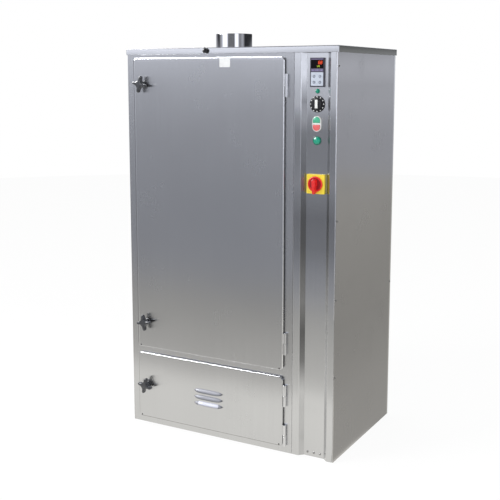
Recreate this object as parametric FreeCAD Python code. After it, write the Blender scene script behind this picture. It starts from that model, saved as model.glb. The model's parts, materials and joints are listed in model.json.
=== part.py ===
"""Electric cabinet smoker: a double-walled steel smoking cabinet with a louvred lower compartment.

Millimetres, +Z up. The origin is the centre of the base, on the floor. The doors face -Y and the
control column stands at +X. Each sub-part is written to parts/NODE.step.
"""
import FreeCAD, Part
import math
import os

V = FreeCAD.Vector

# Cabinet
WIDTH = 830.0
DEPTH = 524.0
HEIGHT = 1400.0
SHEET = 1.5
BASE_SHEET = 2.0
INSULATION = 22.0
COVER_OVERHANG = 4.0
COVER_LIP = 21.5
PANEL_RETURN = 15.0

# Front frame: widths of its members round the two door openings
STILE = 45.0
HEADER = 47.0
CROSS_RAIL = 51.0
SILL = 38.0
LOWER_OPENING = 223.0
FRAME_RETURN = 20.0

# Control column at the right: two lands, two slanted flanks and a recessed channel
COLUMN_WIDTH = 157.0
COLUMN_LAND = 25.5
COLUMN_FLANK = 15.5
COLUMN_RECESS = 15.0

# Doors
DOOR_OVERLAP = 14.0
DOOR_PROUD = 10.0
DOOR_SHEET = 1.5
DOOR_EDGE_GAP = 1.0
DOOR_CORNER = 14.0
PLUG_CLEARANCE = 5.0
PLUG_REACH = 18.5
GASKET_WIDTH = 9.0
GASKET_GAP = 0.3

# Weld-on hinges: each has a lower half on the frame and an upper half on the door
HINGE_HEIGHT = 76.0
HINGE_D = 11.0
HINGE_OFFSET = 7.0
HINGE_PIN_D = 6.0
HINGE_LEAF = 5.0
HINGE_SPLIT = 0.4
HINGE_PIN_INSET = 4.0
MAIN_HINGE_INSET = 57.0
LOWER_HINGE_BOTTOM = 2.0
LOWER_HINGE_TOP = 30.0
RUNNING_CLEARANCE = 0.05

# Door latches: star grip outside, tongue behind the frame's return
LATCH_INSET = 41.0
LATCH_TOP_DROP = 93.0
LATCH_BOTTOM_RISE = 98.0
LOWER_LATCH_RISE = 129.0
SPINDLE_D = 10.0
GRIP_D = 60.0
GRIP_WAIST = 28.0
GRIP_HOLLOW_R = 24.0
GRIP_THICKNESS = 16.0
GRIP_NECK_D = 24.0
GRIP_NECK = 12.0
GRIP_SOCKET = 20.0
PART_GAP = 0.3
TONGUE_GAP = 1.0
TONGUE_THICKNESS = 4.0
TONGUE_WIDTH = 16.0
TONGUE_REACH = 38.0
GRIP_TURNS = {"upper": -12.0, "middle": 8.0, "lower": -12.0}

# Louvres pressed in the lower door
LOUVRE_COUNT = 3
LOUVRE_LENGTH = 121.0
LOUVRE_HEIGHT = 15.0
LOUVRE_PITCH = 23.7
LOUVRE_PROUD = 7.0
LOUVRE_TAPER = 14.0
LOUVRE_FROM_LEFT = 249.5
LOUVRE_RISE = 121.0
LOUVRE_SLOT = 9.0

# Flue and its butterfly damper
FLUE_D = 130.0
FLUE_WALL = 1.5
FLUE_HEIGHT = 53.0
FLUE_FROM_FRONT = 190.0
FLUE_BEAD = 3.0
DAMPER_DROP = 11.0
DAMPER_PLAY = 1.5
DAMPER_BLADE = 2.0
DAMPER_SPINDLE_D = 8.0
DAMPER_SLEEVE_D = 14.0
DAMPER_END = 4.0
DAMPER_KNOB_D = 18.0
DAMPER_KNOB = 14.0
DAMPER_KNOB_ROUND = 3.5
DAMPER_NUB_D = 4.5
DAMPER_NUB = 3.0

# Chamber fittings
LADDER_BAR = 3.0
LADDER_BAR_WIDTH = 20.0
LADDER_DROP = 35.0
LADDER_HALF_SPREAD = 190.0
RUNG_REACH = 30.0
RUNG_SHEET = 2.0
RACK_SIDE_PLAY = 4.5
DRIP_LEVEL = 300.0
GRID_COUNT = 2
ROD_DROP = 135.0
DRIP_DEPTH = 24.0
DRIP_HALF_DEPTH = 195.0
DRIP_RIM = 20.0
GRID_FRAME = 6.0
GRID_WIRE_D = 4.0
GRID_WIRES = 13
GRID_HALF_DEPTH = 200.0
ROD_SIDE = 15.0
ROD_COUNT = 6
ROD_PITCH = 68.0

# Heaters, probe and wood-chip tray
HEATER_D = 8.5
HEATER_COLLAR_D = 16.0
HEATER_COLLAR = 8.0
HEATER_TAIL = 18.0
CHAMBER_HEATER_Z = 215.0
CHAMBER_HEATER_Y = 110.0
CHAMBER_HEATER_HALF = 55.0
CHAMBER_HEATER_LENGTH = 500.0
CHIP_HEATER_Z = 48.0
CHIP_HEATER_Y = 20.0
CHIP_HEATER_HALF = 40.0
CHIP_HEATER_LENGTH = 400.0
CHIP_TRAY_LENGTH = 320.0
CHIP_TRAY_DEPTH = 240.0
CHIP_TRAY_WALL = 45.0
CHIP_TRAY_NOTCH = 12.0
PROBE_D = 6.0
PROBE_REACH = 90.0
PROBE_HEAD_D = 18.0
PROBE_HEAD = 10.0
PROBE_Y = 60.0
PROBE_DROP = 275.0

# Controls on the column: the first is measured down from the top, the others from one to the next
CONTROLLER_DROP = 85.5
CONTROLLER_WIDTH = 50.0
CONTROLLER_HEIGHT = 94.0
CONTROLLER_BEZEL = 6.0
CONTROLLER_BODY = 70.0
CONTROLLER_RIM = 3.0
WINDOW_HEIGHT = 27.0
WINDOW_THICKNESS = 1.0
WINDOW_DROP = 7.0
KEY_D = 9.0
KEY_SPACING_X = 21.0
KEY_SPACING_Z = 19.0
KEY_DROP = 22.6
KEY_PROUD = 1.2
KEY_TRAVEL = 0.8
KEY_POCKET = 3.0
PILOT_DROP = 60.5
PILOT_D = 16.0
PILOT_COLLAR = 2.0
PILOT_LENS_D = 11.0
PILOT_PROUD = 6.0
PILOT_HOLE_D = 12.0
PILOT_BODY = 22.5
TIMER_DROP = 42.0
TIMER_D = 54.0
TIMER_SKIRT = 4.0
TIMER_DRUM_D = 38.0
TIMER_DRUM = 9.0
TIMER_BAR_WIDTH = 10.0
TIMER_BAR = 17.0
TIMER_BAR_LENGTH = 36.0
TIMER_SHAFT_D = 6.0
TIMER_SHAFT = 18.0
TIMER_HOLE_D = 8.0
TIMER_BODY = 36.0
BUTTONS_DROP = 64.0
BUTTONS_WIDTH = 30.0
BUTTONS_HEIGHT = 50.5
BUTTONS_BEZEL = 7.0
BUTTONS_RIM = 2.0
BUTTONS_BRIDGE = 2.0
BUTTON_PLAY = 0.4
BUTTON_PROUD = 2.5
BUTTON_POCKET = 6.0
BUTTON_THICKNESS = 5.0
LAMP_DROP = 55.0
LAMP_D = 30.0
LAMP_BEZEL = 3.0
LAMP_LENS_D = 24.0
LAMP_PROUD = 9.0
LAMP_ROUND = 3.0
FITTING_HOLE_D = 22.0
FITTING_BODY = 45.0
SWITCH_DROP = 143.0
SWITCH_PLATE = 65.0
SWITCH_THICKNESS = 10.0
SWITCH_CORNER = 3.5
SWITCH_RING_D = 52.0
SWITCH_RING = 5.0
SWITCH_GRIP = 20.0
SWITCH_GRIP_WIDTH = 15.0
SWITCH_GRIP_TIP = 7.5
SWITCH_GRIP_RISE = 17.5
SWITCH_GRIP_LENGTH = 50.0
SWITCH_SHAFT_D = 8.0
SWITCH_SHAFT = 15.0
SWITCH_BORE = 20.0
SWITCH_BODY = 46.0
PANEL_PLAY = 0.2

# Electrical bay
RAIL_Z = 700.0
RAIL_WIDTH = 35.0
RAIL_CHANNEL = 27.0
RAIL_DEPTH = 7.5
RAIL_SHEET = 1.0
RAIL_LENGTH = 200.0
CONTACTOR_DEPTH = 84.0
CONTACTOR_STEP = 50.0
CONTACTOR_WIDTH = 45.0
CONTACTOR_HEIGHT = 80.0
CONTACTOR_NOSE = 40.0
TERMINAL_D = 7.5
TERMINAL_DEPTH = 8.0
TERMINAL_PITCH = 13.0
TERMINAL_INSET = 8.0
GLAND_Z = 120.0
GLAND_HOLE_D = 20.0
GLAND_BORE_D = 12.0
GLAND_FLANGE_D = 30.0
GLAND_FLANGE = 6.0
GLAND_NUT_D = 26.0
GLAND_LENGTH = 24.0
GLAND_THREAD = 12.0

# Rivets
RIVET_HEAD_D = 8.0
RIVET_HEAD = 1.6
RIVET_D = 4.0
RIVET_INSET = 6.5
SIDE_RIVET_RISE = 298.0
SIDE_RIVET_PITCH = 266.5
SIDE_RIVET_COUNT = 3
SIDE_RIVET_DROP = 65.0
BACK_RIVET_RISE = 529.0
COLUMN_RIVET_PITCH = 23.5
COLUMN_RIVET_RISE = 14.0
BASE_TAB = 24.0

# Places that follow from the sizes above
LEFT, RIGHT = -WIDTH / 2, WIDTH / 2
FRONT, BACK = -DEPTH / 2, DEPTH / 2
WALL_TOP = HEIGHT - SHEET
COLUMN_LEFT = RIGHT - COLUMN_WIDTH
COLUMN_RIGHT = RIGHT - SHEET
RECESS_FACE = FRONT + COLUMN_RECESS
RECESS_BACK = RECESS_FACE + SHEET
RECESS_LEFT = COLUMN_LEFT + COLUMN_LAND + COLUMN_FLANK
RECESS_RIGHT = RIGHT - COLUMN_LAND - COLUMN_FLANK
CONTROL_X = (RECESS_LEFT + RECESS_RIGHT) / 2
OPEN_LEFT, OPEN_RIGHT = LEFT + STILE, COLUMN_LEFT - STILE
LOWER_OPEN = (SILL, SILL + LOWER_OPENING)
MAIN_OPEN = (LOWER_OPEN[1] + CROSS_RAIL, HEIGHT - HEADER)
WALL = SHEET + INSULATION + SHEET
INNER_LEFT, INNER_RIGHT = LEFT + WALL, COLUMN_LEFT - WALL
INNER_BACK, INNER_TOP = BACK - WALL, HEIGHT - WALL
CHAMBER_X = (INNER_LEFT + INNER_RIGHT) / 2
PANEL_BACK = FRONT + SHEET
DOOR_FACE = FRONT - DOOR_PROUD
DOOR_LEFT, DOOR_RIGHT = OPEN_LEFT - DOOR_OVERLAP, OPEN_RIGHT + DOOR_OVERLAP
MAIN_DOOR = (MAIN_OPEN[0] - DOOR_OVERLAP, MAIN_OPEN[1] + DOOR_OVERLAP)
LOWER_DOOR = (LOWER_OPEN[0] - DOOR_OVERLAP, LOWER_OPEN[1] + DOOR_OVERLAP)
DOOR_SKIN_BACK = DOOR_FACE + DOOR_SHEET
FLANGE_BACK = DOOR_SKIN_BACK + DOOR_SHEET
PLUG_BACK = FRONT + PLUG_REACH
HINGE_X = DOOR_RIGHT + HINGE_OFFSET
HINGE_Y = FRONT - HINGE_OFFSET
LATCH_X = DOOR_LEFT + LATCH_INSET
LATCHES = {
    "upper": MAIN_DOOR[1] - LATCH_TOP_DROP,
    "middle": MAIN_DOOR[0] + LATCH_BOTTOM_RISE,
    "lower": LOWER_DOOR[0] + LOWER_LATCH_RISE,
}
TONGUE_FRONT = FRONT + FRAME_RETURN + TONGUE_GAP
HINGES_MAIN = (
    MAIN_DOOR[0] + MAIN_HINGE_INSET,
    MAIN_DOOR[1] - MAIN_HINGE_INSET - HINGE_HEIGHT,
)
HINGES_LOWER = (
    LOWER_DOOR[0] + LOWER_HINGE_BOTTOM,
    LOWER_DOOR[1] - LOWER_HINGE_TOP - HINGE_HEIGHT,
)
FLUE_X, FLUE_Y = CHAMBER_X, FRONT + FLUE_FROM_FRONT
DAMPER_Z = HEIGHT - DAMPER_DROP
COVER_FRONT = FRONT - COVER_OVERHANG
RACK_LEFT, RACK_RIGHT = OPEN_LEFT + RACK_SIDE_PLAY, OPEN_RIGHT - RACK_SIDE_PLAY
ROD_LEVEL = INNER_TOP - ROD_DROP
GRID_SPACING = (ROD_LEVEL - DRIP_LEVEL) / (GRID_COUNT + 1)
GRID_LEVELS = [DRIP_LEVEL + (i + 1) * GRID_SPACING for i in range(GRID_COUNT)]
PROBE_Z = INNER_TOP - PROBE_DROP
CONTROLLER_Z = HEIGHT - CONTROLLER_DROP
PILOT_Z = CONTROLLER_Z - PILOT_DROP
TIMER_Z = PILOT_Z - TIMER_DROP
BUTTONS_Z = TIMER_Z - BUTTONS_DROP
LAMP_Z = BUTTONS_Z - LAMP_DROP
SWITCH_Z = LAMP_Z - SWITCH_DROP
SIDE_RIVETS = [SIDE_RIVET_RISE + i * SIDE_RIVET_PITCH for i in range(SIDE_RIVET_COUNT)]
SIDE_RIVETS.append(HEIGHT - SIDE_RIVET_DROP)


def box(x, y, z):
    """A box from three (low, high) pairs."""
    return Part.makeBox(x[1] - x[0], y[1] - y[0], z[1] - z[0], V(x[0], y[0], z[0]))


def rod_x(diameter, x, y, z):
    return Part.makeCylinder(diameter / 2, x[1] - x[0], V(x[0], y, z), V(1, 0, 0))


def rod_y(diameter, x, y, z):
    return Part.makeCylinder(diameter / 2, y[1] - y[0], V(x, y[0], z), V(0, 1, 0))


def rod_z(diameter, x, y, z):
    return Part.makeCylinder(diameter / 2, z[1] - z[0], V(x, y, z[0]))


def fuse(shapes):
    shapes = list(shapes)
    return shapes[0].multiFuse(shapes[1:]).removeSplitter()


def prism(points, direction):
    """A closed outline of 3-D points, extruded along a vector."""
    return Part.Face(Part.makePolygon(points + points[:1])).extrude(direction)


def offset_path(path, distance):
    """An open (x, y) path moved to its left by a distance, with mitred corners."""
    normals = []
    for (ax, ay), (bx, by) in zip(path, path[1:]):
        length = math.hypot(bx - ax, by - ay)
        normals.append(((ay - by) / length, (bx - ax) / length))
    moved = []
    for i, (x, y) in enumerate(path):
        before, after = normals[max(i - 1, 0)], normals[min(i, len(normals) - 1)]
        scale = distance / (1 + before[0] * after[0] + before[1] * after[1])
        moved.append((x + (before[0] + after[0]) * scale, y + (before[1] + after[1]) * scale))
    return moved


def folded_sheet(path, z, thickness=SHEET):
    """An upright sheet whose outer face follows the path; its thickness lies to the path's left."""
    outline = path + offset_path(path, thickness)[::-1]
    return prism([V(x, y, z[0]) for x, y in outline], V(0, 0, z[1] - z[0]))


def frame_ring(x, z, y, thickness):
    """A rectangular tube along Y round the opening x, z: the opening is its inside."""
    outer = box((x[0] - thickness, x[1] + thickness), y, (z[0] - thickness, z[1] + thickness))
    return outer.cut(box(x, y, z))


def racetrack(width, height, y, x, z):
    """An upright slot-shaped plate with round ends, centred at x, z."""
    straight = (height - width) / 2
    ends = [rod_y(width, x, y, z + s * straight) for s in (-1, 1)]
    middle = box((x - width / 2, x + width / 2), y, (z - straight, z + straight))
    return fuse([middle] + ends)


# ---- cabinet shell

def base_plate():
    plate = box((LEFT + SHEET, COLUMN_RIGHT), (PANEL_BACK, BACK - SHEET), (0, BASE_SHEET))
    lands = offset_path(column_path(), SHEET)[1:-1]
    channel = [V(x, y, 0) for x, y in [(lands[0][0], FRONT), *lands, (lands[-1][0], FRONT)]]
    plate = plate.cut(prism(channel, V(0, 0, BASE_SHEET)))
    plate = plate.cut(folded_sheet(column_path(), (0, BASE_SHEET)))
    tab = box((RECESS_LEFT, RECESS_RIGHT), (RECESS_BACK, RECESS_BACK + BASE_SHEET), (0, BASE_TAB))
    return fuse([plate, tab]).cut(column_rivets())


def left_side_panel():
    return box((LEFT, LEFT + SHEET), (PANEL_BACK, BACK), (0, WALL_TOP))


def right_side_panel():
    return box((RIGHT - SHEET, RIGHT), (FRONT, BACK), (0, WALL_TOP)).cut(side_rivets())


def back_panel():
    path = [
        (COLUMN_RIGHT, BACK - PANEL_RETURN),
        (COLUMN_RIGHT, BACK),
        (LEFT + SHEET, BACK),
        (LEFT + SHEET, BACK - PANEL_RETURN),
    ]
    panel = folded_sheet(path, (BASE_SHEET, WALL_TOP))
    hole = rod_y(GLAND_HOLE_D, CONTROL_X, (BACK - SHEET, BACK), GLAND_Z)
    return panel.cut(hole).cut(side_rivets())


def top_cover():
    x = LEFT - COVER_OVERHANG, RIGHT + COVER_OVERHANG
    y = COVER_FRONT, BACK + COVER_OVERHANG
    inside = box(
        (x[0] + SHEET, x[1] - SHEET),
        (y[0] + SHEET, y[1] - SHEET),
        (HEIGHT - COVER_LIP, WALL_TOP),
    )
    cover = box(x, y, (HEIGHT - COVER_LIP, HEIGHT)).cut(inside)
    flue = rod_z(FLUE_D, FLUE_X, FLUE_Y, (WALL_TOP, HEIGHT))
    return cover.cut(flue).cut(damper_way(COVER_FRONT, RUNNING_CLEARANCE))


def damper_way(y_from, clearance):
    """The round way that the damper's spindle takes through whatever it crosses."""
    diameter = DAMPER_SPINDLE_D + 2 * clearance
    return rod_y(diameter, FLUE_X, (y_from, FLUE_Y + FLUE_D), DAMPER_Z)


def front_frame():
    face = box((LEFT, COLUMN_LEFT), (FRONT, PANEL_BACK), (0, WALL_TOP))
    opening_x = OPEN_LEFT, OPEN_RIGHT
    shapes = [face]
    for z in (LOWER_OPEN, MAIN_OPEN):
        shapes.append(frame_ring(opening_x, z, (FRONT, FRONT + FRAME_RETURN), SHEET))
    frame = fuse(shapes)
    for z in (LOWER_OPEN, MAIN_OPEN):
        frame = frame.cut(box(opening_x, (FRONT, PANEL_BACK), z))
    return frame.cut(damper_way(FRONT, PART_GAP))


def column_path():
    """The control column's section, from its left return to its right return."""
    return [
        (COLUMN_LEFT, FRONT + PANEL_RETURN),
        (COLUMN_LEFT, FRONT),
        (COLUMN_LEFT + COLUMN_LAND, FRONT),
        (RECESS_LEFT, RECESS_FACE),
        (RECESS_RIGHT, RECESS_FACE),
        (RIGHT - COLUMN_LAND, FRONT),
        (COLUMN_RIGHT, FRONT),
        (COLUMN_RIGHT, FRONT + PANEL_RETURN),
    ]


def control_column():
    column = folded_sheet(column_path(), (0, WALL_TOP))
    through = RECESS_FACE, RECESS_BACK
    for z, diameter in (
        (PILOT_Z, PILOT_HOLE_D),
        (TIMER_Z, TIMER_HOLE_D),
        (BUTTONS_Z, FITTING_HOLE_D),
        (LAMP_Z, FITTING_HOLE_D),
    ):
        column = column.cut(rod_y(diameter, CONTROL_X, through, z))
    column = column.cut(controller_body(PANEL_PLAY, through))
    column = column.cut(switch_body(PANEL_PLAY, through))
    return column.cut(side_rivets()).cut(column_rivets())


def partition_wall():
    wall = box((COLUMN_LEFT - SHEET, COLUMN_LEFT), (PANEL_BACK, BACK - SHEET), (BASE_SHEET, WALL_TOP))
    return wall.cut(wall_holes())


def wall_holes():
    """What passes from the electrical bay into the chamber through the right-hand wall."""
    x = INNER_RIGHT, COLUMN_LEFT
    tails = [rod_x(HEATER_D, x, y, z) for y, z in heater_tails()]
    return fuse(tails + [rod_x(PROBE_D, x, PROBE_Y, PROBE_Z)])


def liner_left():
    x = INNER_LEFT - SHEET, INNER_LEFT
    return box(x, (PANEL_BACK, INNER_BACK + SHEET), (BASE_SHEET, INNER_TOP))


def liner_right():
    x = INNER_RIGHT, INNER_RIGHT + SHEET
    liner = box(x, (PANEL_BACK, INNER_BACK + SHEET), (BASE_SHEET, INNER_TOP))
    return liner.cut(wall_holes())


def liner_back():
    return box((INNER_LEFT, INNER_RIGHT), (INNER_BACK, INNER_BACK + SHEET), (BASE_SHEET, INNER_TOP))


def liner_roof():
    x = INNER_LEFT - SHEET, INNER_RIGHT + SHEET
    roof = box(x, (PANEL_BACK, INNER_BACK + SHEET), (INNER_TOP, INNER_TOP + SHEET))
    return roof.cut(rod_z(FLUE_D, FLUE_X, FLUE_Y, (INNER_TOP, INNER_TOP + SHEET)))


def cabinet_insulation():
    """Four slabs between the skins: left, right, back and roof."""
    z = BASE_SHEET, INNER_TOP + SHEET
    left = box((LEFT + SHEET, INNER_LEFT - SHEET), (PANEL_BACK, BACK - PANEL_RETURN), z)
    right_x = INNER_RIGHT + SHEET, COLUMN_LEFT - SHEET
    right = box(right_x, (PANEL_BACK, BACK - SHEET), z).cut(wall_holes())
    back_x = INNER_LEFT - SHEET, INNER_RIGHT + SHEET
    back = box(back_x, (INNER_BACK + SHEET, BACK - SHEET), z)
    roof_x = LEFT + SHEET, COLUMN_LEFT - SHEET
    roof = box(roof_x, (PANEL_BACK, BACK - PANEL_RETURN), (INNER_TOP + SHEET, WALL_TOP))
    roof = roof.cut(rod_z(FLUE_D, FLUE_X, FLUE_Y, (INNER_TOP, HEIGHT)))
    sleeve = rod_y(DAMPER_SLEEVE_D, FLUE_X, (FRONT, FLUE_Y + FLUE_D / 2 + DAMPER_SLEEVE_D), DAMPER_Z)
    return Part.makeCompound([left, right, back, roof.cut(sleeve)])


# ---- chamber fittings

def rack_ladder(wall_x, inward):
    """Two uprights against a side wall, joined by flat rungs that carry the racks."""
    bar_x = sorted((wall_x, wall_x + inward * LADDER_BAR))
    rung_x = sorted((wall_x, wall_x + inward * (LADDER_BAR + RUNG_REACH)))
    half = LADDER_BAR_WIDTH / 2
    shapes = []
    for y in (-LADDER_HALF_SPREAD, LADDER_HALF_SPREAD):
        shapes.append(box(bar_x, (y - half, y + half), (BASE_SHEET, INNER_TOP - LADDER_DROP)))
    reach = LADDER_HALF_SPREAD + half
    for level in (DRIP_LEVEL, *GRID_LEVELS, ROD_LEVEL):
        shapes.append(box(rung_x, (-reach, reach), (level - RUNG_SHEET, level)))
    return fuse(shapes)


def rack_ladders():
    return Part.makeCompound([rack_ladder(INNER_LEFT, 1), rack_ladder(INNER_RIGHT, -1)])


def drip_tray():
    rim_x = RACK_LEFT, RACK_RIGHT
    pan_x = RACK_LEFT + DRIP_RIM, RACK_RIGHT - DRIP_RIM
    y = -DRIP_HALF_DEPTH, DRIP_HALF_DEPTH
    rim = box(rim_x, y, (DRIP_LEVEL, DRIP_LEVEL + SHEET))
    pan = box(pan_x, y, (DRIP_LEVEL - DRIP_DEPTH, DRIP_LEVEL + SHEET))
    hollow = box(
        (pan_x[0] + SHEET, pan_x[1] - SHEET),
        (y[0] + SHEET, y[1] - SHEET),
        (DRIP_LEVEL - DRIP_DEPTH + SHEET, DRIP_LEVEL + SHEET),
    )
    return fuse([rim, pan]).cut(hollow)


def wire_grid(level):
    """A rectangular rod frame with wires from front to back, laid on the rungs."""
    x = RACK_LEFT, RACK_RIGHT
    y = -GRID_HALF_DEPTH, GRID_HALF_DEPTH
    z = level, level + GRID_FRAME
    hole_x = x[0] + GRID_FRAME, x[1] - GRID_FRAME
    hole_y = y[0] + GRID_FRAME, y[1] - GRID_FRAME
    frame = box(x, y, z).cut(box(hole_x, hole_y, z))
    pitch = (hole_x[1] - hole_x[0]) / (GRID_WIRES + 1)
    wire_y = y[0] + GRID_FRAME / 2, y[1] - GRID_FRAME / 2
    middle = level + GRID_FRAME / 2
    wires = [
        rod_y(GRID_WIRE_D, hole_x[0] + (i + 1) * pitch, wire_y, middle)
        for i in range(GRID_WIRES)
    ]
    return fuse([frame] + wires)


def wire_grids():
    return Part.makeCompound([wire_grid(level) for level in GRID_LEVELS])


def smoking_rods():
    rods = []
    for i in range(ROD_COUNT):
        y = (i - (ROD_COUNT - 1) / 2) * ROD_PITCH
        sides = y - ROD_SIDE / 2, y + ROD_SIDE / 2
        rods.append(box((RACK_LEFT, RACK_RIGHT), sides, (ROD_LEVEL, ROD_LEVEL + ROD_SIDE)))
    return Part.makeCompound(rods)


def heater_tails():
    """Where the heaters' legs pass the right-hand wall, as (y, z)."""
    tails = []
    for y, half, z in (
        (CHAMBER_HEATER_Y, CHAMBER_HEATER_HALF, CHAMBER_HEATER_Z),
        (CHIP_HEATER_Y, CHIP_HEATER_HALF, CHIP_HEATER_Z),
    ):
        tails += [(y - half, z), (y + half, z)]
    return tails


def hairpin_heater(y, half, z, length):
    """A tubular heater bent into a hairpin, with a threaded collar where each leg meets the wall."""
    start, bend = COLUMN_LEFT + HEATER_TAIL, INNER_RIGHT - length + half
    legs = [rod_x(HEATER_D, (bend, start), y + side * half, z) for side in (-1, 1)]
    section = Part.Wire(Part.Circle(V(bend, y + half, z), V(1, 0, 0), HEATER_D / 2).toShape())
    turn = Part.Face(section).revolve(V(bend, y, z), V(0, 0, 1), 180)
    collar_x = INNER_RIGHT - HEATER_COLLAR, INNER_RIGHT
    collars = [rod_x(HEATER_COLLAR_D, collar_x, y + side * half, z) for side in (-1, 1)]
    return fuse(legs + [turn] + collars)


def chamber_heater():
    return hairpin_heater(
        CHAMBER_HEATER_Y, CHAMBER_HEATER_HALF, CHAMBER_HEATER_Z, CHAMBER_HEATER_LENGTH
    )


def chip_heater():
    return hairpin_heater(CHIP_HEATER_Y, CHIP_HEATER_HALF, CHIP_HEATER_Z, CHIP_HEATER_LENGTH)


def chip_tray():
    """An open tray on two folded legs, standing over its heater."""
    x = CHAMBER_X - CHIP_TRAY_LENGTH / 2, CHAMBER_X + CHIP_TRAY_LENGTH / 2
    y = CHIP_HEATER_Y - CHIP_TRAY_DEPTH / 2, CHIP_HEATER_Y + CHIP_TRAY_DEPTH / 2
    floor = CHIP_HEATER_Z + HEATER_D / 2 + PART_GAP
    top = floor + SHEET + CHIP_TRAY_WALL
    pan = box(x, y, (floor, top))
    pan = pan.cut(box((x[0] + SHEET, x[1] - SHEET), (y[0] + SHEET, y[1] - SHEET), (floor + SHEET, top)))
    legs = [
        box((x[0], x[0] + SHEET), y, (BASE_SHEET, floor)),
        box((x[1] - SHEET, x[1]), y, (BASE_SHEET, floor)),
    ]
    tray = fuse([pan] + legs)
    for side in (-1, 1):
        leg_y = CHIP_HEATER_Y + side * CHIP_HEATER_HALF
        notch_y = leg_y - CHIP_TRAY_NOTCH / 2, leg_y + CHIP_TRAY_NOTCH / 2
        tray = tray.cut(box((x[1] - SHEET, x[1]), notch_y, (BASE_SHEET, floor)))
    return tray


def temperature_probe():
    rod = rod_x(PROBE_D, (INNER_RIGHT - PROBE_REACH, COLUMN_LEFT + PROBE_HEAD), PROBE_Y, PROBE_Z)
    head = rod_x(PROBE_HEAD_D, (COLUMN_LEFT, COLUMN_LEFT + PROBE_HEAD), PROBE_Y, PROBE_Z)
    return fuse([rod, head])


# ---- flue and damper

def flue_pipe():
    span = INNER_TOP, HEIGHT + FLUE_HEIGHT
    outer = rod_z(FLUE_D, FLUE_X, FLUE_Y, span)
    bead = rod_z(FLUE_D + 2 * FLUE_BEAD, FLUE_X, FLUE_Y, (HEIGHT, HEIGHT + FLUE_BEAD))
    bore = rod_z(FLUE_D - 2 * FLUE_WALL, FLUE_X, FLUE_Y, span)
    return fuse([outer, bead]).cut(bore).cut(damper_way(FRONT, RUNNING_CLEARANCE))


def damper_blade():
    """A round blade on its spindle, upright when the flue is open."""
    radius = FLUE_D / 2 - FLUE_WALL - DAMPER_PLAY
    blade = rod_x(2 * radius, (FLUE_X - DAMPER_BLADE / 2, FLUE_X + DAMPER_BLADE / 2), FLUE_Y, DAMPER_Z)
    ends = COVER_FRONT - DAMPER_KNOB + DAMPER_END, FLUE_Y + FLUE_D / 2 + DAMPER_END
    return fuse([blade, rod_y(DAMPER_SPINDLE_D, FLUE_X, ends, DAMPER_Z)])


def damper_knob():
    """A round knob with a nub that points along the blade."""
    y = COVER_FRONT - PART_GAP - DAMPER_KNOB, COVER_FRONT - PART_GAP
    knob = rod_y(DAMPER_KNOB_D, FLUE_X, y, DAMPER_Z)
    front_edges = [e for e in knob.Edges if abs(e.BoundBox.YMax - y[0]) < PART_GAP / 10]
    knob = knob.makeFillet(DAMPER_KNOB_ROUND, front_edges)
    middle = (y[0] + y[1]) / 2
    top = DAMPER_Z + DAMPER_KNOB_D / 2 + DAMPER_NUB
    knob = fuse([knob, rod_z(DAMPER_NUB_D, FLUE_X, middle, (DAMPER_Z, top))])
    socket = rod_y(DAMPER_SPINDLE_D, FLUE_X, (COVER_FRONT - DAMPER_KNOB + DAMPER_END, y[1]), DAMPER_Z)
    return knob.cut(socket)


# ---- hinges

def hinge_halves(starts, on_door):
    """The frame's lower knuckles, or the door's upper ones, each with its welded leaf."""
    half = (HINGE_HEIGHT - HINGE_SPLIT) / 2
    halves = []
    for start in starts:
        z = (start + HINGE_HEIGHT - half, start + HINGE_HEIGHT) if on_door else (start, start + half)
        knuckle = rod_z(HINGE_D, HINGE_X, HINGE_Y, z)
        width = HINGE_LEAF / 2
        if on_door:
            leaf = box((DOOR_RIGHT, HINGE_X), (HINGE_Y - width, HINGE_Y + width), z)
            bore_d = HINGE_PIN_D + 2 * RUNNING_CLEARANCE
        else:
            leaf = box((HINGE_X - width, HINGE_X + width), (HINGE_Y, FRONT), z)
            bore_d = HINGE_PIN_D
        top = z[1] - HINGE_PIN_INSET + PART_GAP if on_door else z[1]
        bore = rod_z(bore_d, HINGE_X, HINGE_Y, (z[0], top))
        halves.append(fuse([knuckle, leaf]).cut(bore))
    return Part.makeCompound(halves)


def hinge_frame_halves():
    return hinge_halves(HINGES_LOWER + HINGES_MAIN, on_door=False)


def main_door_hinge_halves():
    return hinge_halves(HINGES_MAIN, on_door=True)


def lower_door_hinge_halves():
    return hinge_halves(HINGES_LOWER, on_door=True)


def hinge_pins():
    pins = []
    for start in HINGES_LOWER + HINGES_MAIN:
        span = start, start + HINGE_HEIGHT - HINGE_PIN_INSET
        pins.append(rod_z(HINGE_PIN_D, HINGE_X, HINGE_Y, span))
    return Part.makeCompound(pins)


# ---- doors

def outer_pan(z):
    """A door's skin with round corners and edges folded back towards the frame."""
    y = DOOR_FACE, FRONT - DOOR_EDGE_GAP
    skin = box((DOOR_LEFT, DOOR_RIGHT), y, z)
    corners = [e for e in skin.Edges if abs(e.BoundBox.YLength - (y[1] - y[0])) < PART_GAP]
    skin = skin.makeFillet(DOOR_CORNER, corners)
    inside_z = z[0] + DOOR_SHEET, z[1] - DOOR_SHEET
    inside = box((DOOR_LEFT + DOOR_SHEET, DOOR_RIGHT - DOOR_SHEET), (DOOR_SKIN_BACK, y[1]), inside_z)
    corners = [e for e in inside.Edges if abs(e.BoundBox.YLength - (y[1] - DOOR_SKIN_BACK)) < PART_GAP]
    return skin.cut(inside.makeFillet(DOOR_CORNER - DOOR_SHEET, corners))


def plug_box(opening_z, inset, y):
    """The space of a door's plug, set back from the opening's edges by its clearance and an inset."""
    gap = PLUG_CLEARANCE + inset
    return box((OPEN_LEFT + gap, OPEN_RIGHT - gap), y, (opening_z[0] + gap, opening_z[1] - gap))


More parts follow.
